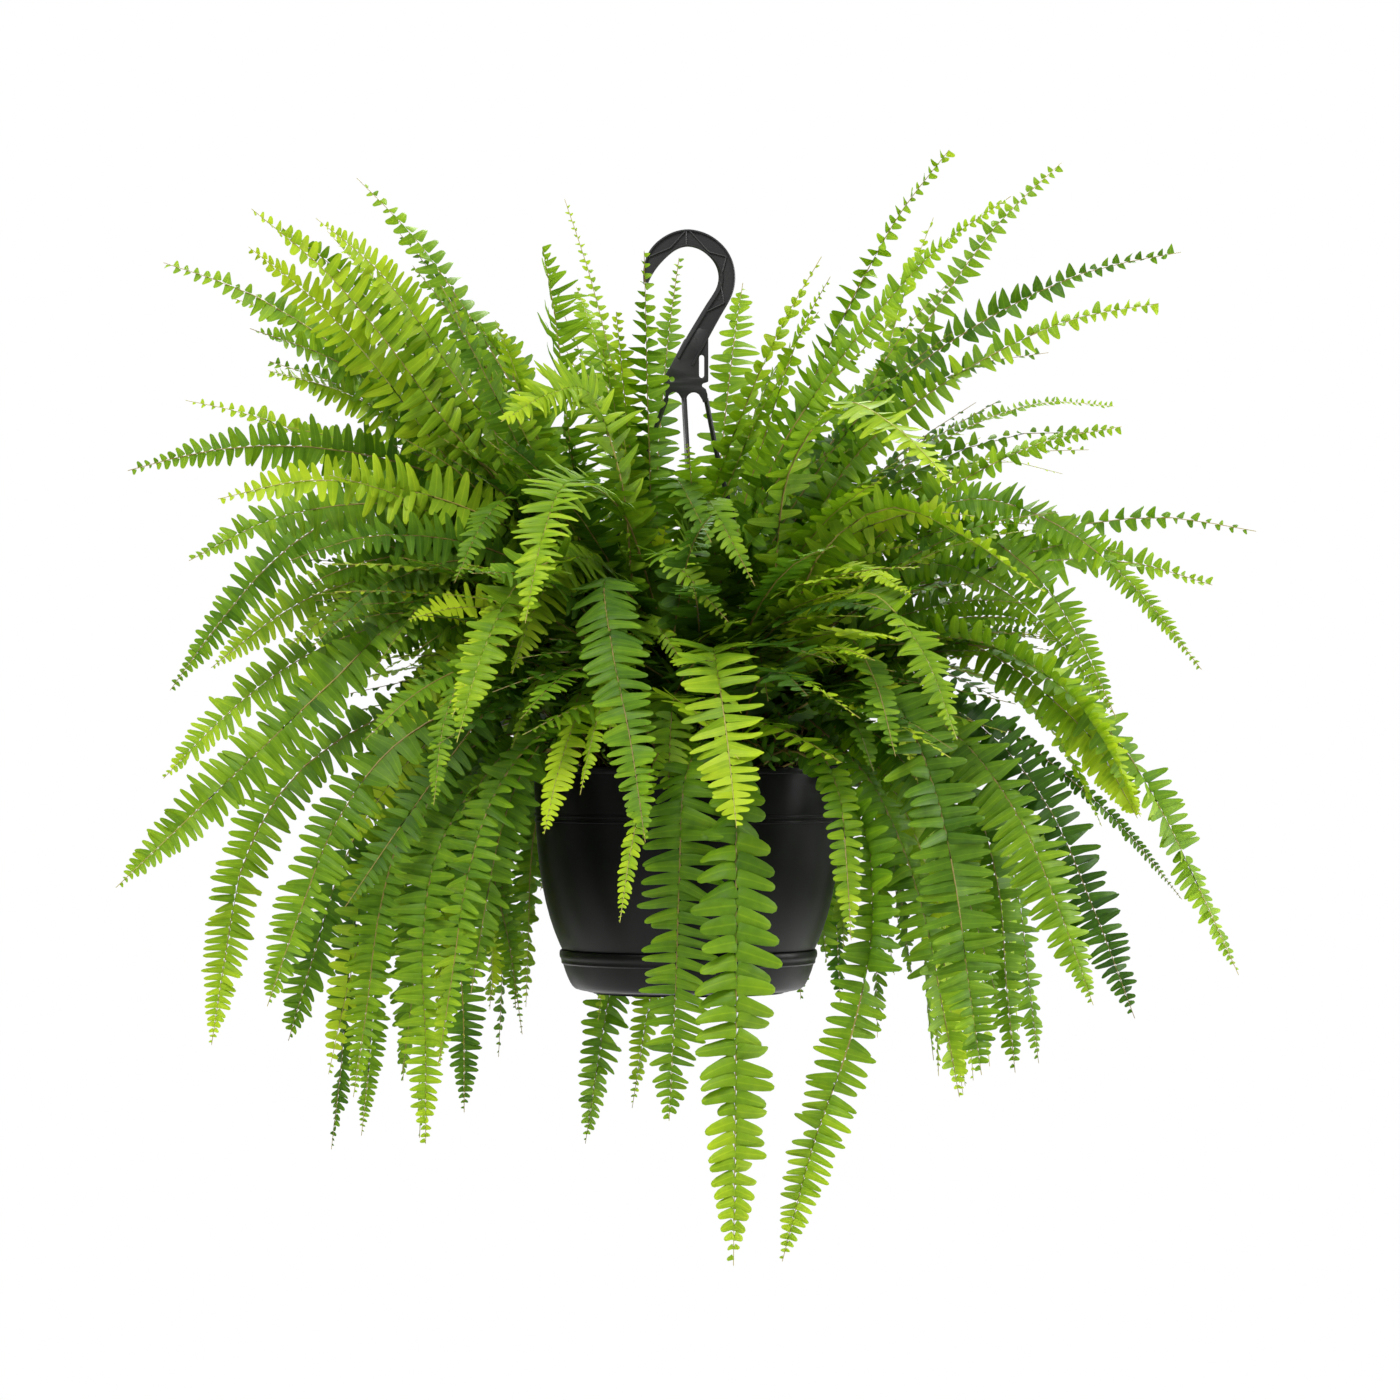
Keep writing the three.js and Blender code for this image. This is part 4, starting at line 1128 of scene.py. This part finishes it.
# %% Making the band
nothing_selected()
bpy.ops.mesh.primitive_grid_add(x_subdivisions=7, y_subdivisions=BAND_ROWS - 1, size=1)
band = bpy.context.object
band.name = "hook_band"
line = smooth_line(HOOK_LINE, BAND_ROWS)
ahead = unit(np.gradient(line[:, :2], axis=0))
columns = sorted({round(v.co.x, 4) for v in band.data.vertices})
rows = sorted({round(v.co.y, 4) for v in band.data.vertices})
for v in band.data.vertices:
    row, column = rows.index(round(v.co.y, 4)), columns.index(round(v.co.x, 4))
    lit = float(np.clip((row / BAND_ROWS - 0.42) / 0.12, 0, 1))
    offset, depth = band_row(line[row, 2], lit)[column]
    x, z = line[row, :2] + [ahead[row, 1] * offset, -ahead[row, 0] * offset]
    v.co = (x / 1000, -depth / 1000, z / 1000)
edit_all()
bpy.ops.mesh.select_mode(type="EDGE")
bpy.ops.mesh.region_to_loop()
bpy.ops.mesh.extrude_edges_move(TRANSFORM_OT_translate={"value": (0, 0.002, 0)})
bpy.ops.transform.resize(value=(1, 0, 1), center_override=(0, 0, 0))
bpy.ops.object.mode_set(mode="OBJECT")
mirror = band.modifiers.new("other_face", "MIRROR")
mirror.use_axis = (False, True, False)
mirror.merge_threshold = 1e-5
bpy.ops.object.modifier_apply(modifier="other_face")
hanger_parts = [band]
print("hook band has", len(band.data.polygons), "faces")

# %% Ribs and pin marks
ZIGZAG = [
    [(-36.0, -9.8), (-15.5, -1.2)], [(-15.5, -1.2), (-2.6, 13.2)], [(-2.0, 14.2), (-2.0, 0.4)],
    [(1.2, 13.2), (17.6, -4.8)], [(17.6, -4.8), (32.6, -8.8)], [(32.6, -8.8), (28.0, -25.5)],
    [(27.0, -29.0), (30.6, -48.8)], [(30.6, -48.8), (14.8, -56.4)],
]
BAR_SECTION = (7.4, 1.0)
PIN_MARKS = [(25.8, -43.4), (4.8, -81.3)]


def rib_bar(start, end):
    """A thin rib through the web, with eased edges."""
    nothing_selected()
    (x0, z0), (x1, z1) = start, end
    bpy.ops.mesh.primitive_cube_add(size=0.001)
    bar = bpy.context.object
    edit_all()
    bpy.ops.transform.resize(value=(math.hypot(x1 - x0, z1 - z0), *BAR_SECTION))
    bpy.ops.mesh.bevel(offset=0.00025, segments=1, affect="EDGES")
    bpy.ops.object.mode_set(mode="OBJECT")
    angle = math.atan2(z1 - z0, x1 - x0)
    for v in bar.data.vertices:
        x, z = turned_by(angle, v.co.x, v.co.z)
        v.co = (x + (x0 + x1) / 2000, v.co.y, z + (z0 + z1) / 2000)
    return bar


def pin_mark(x, z):
    """The round mark that an ejector pin leaves, a shallow dish with a raised edge."""
    nothing_selected()
    place = (x / 1000, -WEB_HALF / 1000 + 0.0004, z / 1000)
    upright = (math.pi / 2, 0, 0)
    bpy.ops.mesh.primitive_circle_add(
        vertices=20, radius=0.0026, fill_type="NGON", rotation=upright, location=place
    )
    mark = bpy.context.object
    bpy.ops.object.transform_apply(location=True, rotation=True, scale=True)
    edit_all()
    bpy.ops.mesh.extrude_region_move(TRANSFORM_OT_translate={"value": (0, -0.0008, 0)})
    bpy.ops.mesh.inset(thickness=0.0004)
    bpy.ops.transform.translate(value=(0, 0.0003, 0))
    edit_done()
    return mark


rib_bars = [rib_bar(*ends) for ends in ZIGZAG]
hanger_parts += rib_bars + [pin_mark(*place) for place in PIN_MARKS]

# %% Flat mouldings
def flat_moulding(name, outline, holes, thickness, easing):
    """A flat outline in the X-Z plane with its holes, given a thickness and an eased edge, in millimetres."""
    curve = bpy.data.curves.new(name, "CURVE")
    curve.dimensions = "2D"
    curve.fill_mode = "BOTH"
    curve.extrude = (thickness / 2 - easing) / 1000
    curve.bevel_depth = easing / 1000
    curve.bevel_resolution = 1
    curve.offset = -easing / 1000
    for loop in [outline] + holes:
        spline = curve.splines.new("POLY")
        spline.points.add(len(loop) - 1)
        for point, (x, z) in zip(spline.points, loop):
            point.co = (x / 1000, z / 1000, 0, 1)
        spline.use_cyclic_u = True
    take(put_in_scene(name, curve))
    bpy.ops.object.convert(target="MESH")
    piece = bpy.context.object
    edit_all()
    bpy.ops.mesh.remove_doubles(threshold=1e-6)
    bpy.ops.transform.rotate(value=-math.pi / 2, orient_axis="X", center_override=(0, 0, 0))
    edit_done()
    print(name, "has", len(piece.data.polygons), "faces")
    return piece


def round_corner(x, z, radius, start, end, steps):
    turn = np.radians(np.linspace(start, end, steps))
    return [(x + radius * math.cos(a), z + radius * math.sin(a)) for a in turn]


# %% Plate
PLATE_OUTLINE = (
    [(8.0, -70.0), (-3.8, -80.4), (-15.8, -103.6), (-23.0, -115.2), (-22.4, -116.4), (-20.2, -118.0)]
    + [(-20.6, -120.4), (-19.6, -126.6), (-20.4, -131.5), (-17.2, -131.5)]
    + round_corner(-12.2, -130.2, 5.2, 165, 25, 7)
    + [(-5.4, -131.8), (-4.0, -134.0), (-1.6, -134.0)] + round_corner(4.6, -131.6, 6.2, 172, 22, 8)
    + [(11.8, -131.6), (12.6, -134.0), (16.8, -134.0), (16.5, -127.4), (15.0, -122.6)]
    + round_corner(13.6, -119.4, 1.9, 255, 105, 5)
    + [(15.2, -117.0), (16.8, -116.4), (17.2, -115.4), (17.2, -72.0)]
)
PEG_HOLE = round_corner(-14.1, -114.1, 2.3, 0, 337.5, 16)
SLOT = round_corner(11.4, -95.4, 2.15, 0, 180, 7) + round_corner(11.4, -110.8, 2.15, 180, 360, 7)
hanger_parts.append(flat_moulding("plate", PLATE_OUTLINE, [PEG_HOLE, SLOT], 4.0, 0.45))

# %% Straps
# turn about the pot's axis in degrees, place of the top across the plate, and how far it lags behind the bow
ARMS = [(6, -3.6, 3.5), (126, 15.2, 12.0), (-114, -18.6, 0.0)]
ARM_TOP_Z = -131.0
STRAP_SECTION = [
    (2.3, 1.0), (-2.3, 1.0), (-2.3, -0.3), (-0.75, -0.6), (-0.55, -2.2), (0.55, -2.2), (0.75, -0.6),
    (2.3, -0.3),
]
CLIP_RADIUS = 137.6


def strap(turn, top_x, lag):
    """A strap with a ridge along its outer face, from the plate to the clip on the rim."""
    turn = math.radians(turn)
    out = np.array([math.sin(turn), -math.cos(turn), 0.0])
    across = np.array([math.cos(turn), math.sin(turn), 0.0])
    top = np.array([top_x, 0.0, ARM_TOP_Z])
    bottom = out * CLIP_RADIUS + [0, 0, RIM_Z * 1000 + 6]
    bow = (top + bottom) / 2 + out * 7
    pull = 2 * bow - (top + bottom) / 2
    shares = np.linspace(0, 1, 15)[:, None]
    path = top * (1 - shares) ** 2 + pull * 2 * shares * (1 - shares) + bottom * shares**2
    path -= out * (lag + 4) * np.sin(np.pi * np.minimum(shares / 0.7, 1))
    down = unit(bottom - top)
    deep = unit(out - down * (out @ down))
    nothing_selected()
    bpy.ops.mesh.primitive_circle_add(vertices=len(STRAP_SECTION), radius=0.001)
    piece = bpy.context.object
    for v, (x, y) in zip(piece.data.vertices, STRAP_SECTION):
        v.co = (path[0] + across * x - deep * y) / 1000
    edit_all()
    bpy.ops.mesh.edge_face_add()
    for here, there in zip(path, path[1:]):
        bpy.ops.mesh.extrude_region_move(TRANSFORM_OT_translate={"value": (there - here) / 1000})
    edit_done()
    return piece


hanger_parts += [strap(*arm) for arm in ARMS]

# %% Clips
CLIP_OUTLINE = [
    (135.9, -436.4), (137.0, -435.4), (138.8, -435.6), (139.6, -437.0), (139.6, -455.4), (138.9, -456.6),
    (137.2, -456.4), (134.7, -454.8), (134.5, -453.2), (135.9, -452.7),
]
CLIP_WIDTH = 9


def clip(turn):
    """The clip at a strap's foot, with its barb under the rim's lip."""
    piece = flat_moulding("clip", CLIP_OUTLINE, [], CLIP_WIDTH, 0.4)
    for v in piece.data.vertices:
        v.co.xy = turned_by(math.radians(turn) - math.pi / 2, v.co.x, v.co.y)
    return piece


hanger_parts += [clip(arm[0]) for arm in ARMS]

# %% Joining the hanger
# the rib bars take the lighter plastic with the painted highlight, the rest the plain hanger plastic
for part in hanger_parts:
    part.data.materials.clear()
    part.data.materials.append(rib_highlight_finish if part in rib_bars else hanger_finish)
take(*hanger_parts[1:], band)
bpy.ops.object.join()
hanger = bpy.context.object
hanger.name = "moulded_hanger"
bpy.ops.object.shade_smooth_by_angle(angle=MOULDED_ANGLE)
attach(hanger, "root")
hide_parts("hanger")
print("hanger has", len(hanger_parts), "parts and", len(hanger.data.polygons), "faces")

# %% [markdown]
# ## Soil
# Between the fronds a little of the potting soil shows: dark crumbs of peat with red-brown root fibres. The
# bed is a turned plug whose top is made uneven, and crumbs and fibres are scattered over it, the crumbs as
# copies of one. All of it keeps inside the pot's wall.

# %% Soil finish
PEAT_TONES = [(0.30, (0.012, 0.006, 0.003)), (0.55, (0.045, 0.022, 0.011)), (0.80, (0.110, 0.052, 0.026))]

peat = Wiring(bpy.data.materials.new("potting_soil"))
lumps = peat.noise(160, 8)
peat.fill(peat.skin, {
    "Base Color": peat.ramp(lumps, PEAT_TONES), "Roughness": 0.9, "Normal": peat.raised(lumps, 0.8, 0.001),
})

# %% Soil bed
SOIL_TOP = SOIL_Z * 1000
HEAP = 3.0
BED_RADIUS = 128
WALL_GAP = 2.6

bed_round = [(r, SOIL_TOP + HEAP * (1 - r / BED_RADIUS)) for r in range(0, 121, 8)]
bed_round += [(BED_RADIUS - 0.5, SOIL_TOP - 1)]
bed_round += [(pot_radius(z) - WALL_GAP, z) for z in (-530, -590, -619)] + [(79, -631.6), (0, -631.6)]
soil = turned("potting_soil", bed_round, peat.owner)
rough = bpy.data.textures.new("soil_lumps", "CLOUDS")
rough.noise_scale = 0.011
rough.noise_depth = 3
top = [v.index for v in soil.data.vertices if v.co.z > SOIL_Z - 0.0005 and v.co.xy.length < 0.124]
soil.vertex_groups.new(name="top").add(top, 1.0, "REPLACE")
lumpy = soil.modifiers.new("lumps", "DISPLACE")
lumpy.texture = rough
lumpy.direction = "Z"
lumpy.strength = 0.009
lumpy.vertex_group = "top"
take(soil)
bpy.ops.object.modifier_apply(modifier="lumps")

# %% A crumb
nothing_selected()
bpy.ops.mesh.primitive_ico_sphere_add(subdivisions=1, radius=1)
crumb = bpy.context.object
edit_all()
bpy.ops.transform.vertex_random(offset=0.25, uniform=0, normal=0, seed=3)
bpy.ops.object.mode_set(mode="OBJECT")
crumb_places = np.array([v.co for v in crumb.data.vertices])
crumb_faces = np.array([p.vertices for p in crumb.data.polygons])
bpy.data.objects.remove(crumb)
print("a crumb has", len(crumb_faces), "faces")

# %% Crumbs and fibres
CRUMBS = 420
FIBRES = 220
FIBRE_POINTS = 6
FIBRE_STEP = 0.003
FIBRE_HALF = 0.0003
LITTER_REACH = 0.121
litter = np.random.default_rng(7)


def on_soil():
    """A place drawn by chance on the bed."""
    reach, bearing = LITTER_REACH * math.sqrt(litter.random()), litter.uniform(0, math.tau)
    z = SOIL_Z + 0.001 * HEAP * (1 - reach / (0.001 * BED_RADIUS))
    return np.array([reach * math.cos(bearing), reach * math.sin(bearing), z])


corners, faces = [], []
for _ in range(CRUMBS):
    size = litter.uniform(0.0012, 0.0042) * litter.uniform(0.6, 1.2, 3)
    faces += (crumb_faces + len(corners)).tolist()
    corners += (crumb_places * size + on_soil()).tolist()
for _ in range(FIBRES):
    here, bearing = on_soil() + [0, 0, litter.uniform(-0.001, 0.004)], litter.uniform(0, math.tau)
    first = len(corners)
    for step in range(FIBRE_POINTS):
        bearing += litter.normal(0, 0.5)
        ahead = np.array([math.cos(bearing), math.sin(bearing), litter.normal(0, 0.3)])
        here = here + ahead * FIBRE_STEP
        here[:2] *= min(1, 0.124 / max(math.hypot(*here[:2]), 1e-6))
        aside = np.array([-math.sin(bearing), math.cos(bearing), 0]) * FIBRE_HALF
        corners += [here + aside, here - aside, here + [0, 0, 2 * FIBRE_HALF]]
    for start in range(first, first + 3 * (FIBRE_POINTS - 1), 3):
        for k in range(3):
            a, b = start + k, start + (k + 1) % 3
            faces.append((a, b, b + 3, a + 3))
    last = len(corners) - 3
    faces += [(first + 2, first + 1, first), (last, last + 1, last + 2)]
crumbs = bpy.data.meshes.new("soil_crumbs")
crumbs.from_pydata([tuple(c) for c in corners], [], faces)
crumbs.materials.append(peat.owner)
crumb_piece = put_in_scene("soil_crumbs", crumbs)
take(soil, crumb_piece)
edit_all()
edit_done()
take(crumb_piece, soil)
bpy.ops.object.join()
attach(soil, "root")
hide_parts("soil")
print("soil has", len(soil.data.polygons), "faces")
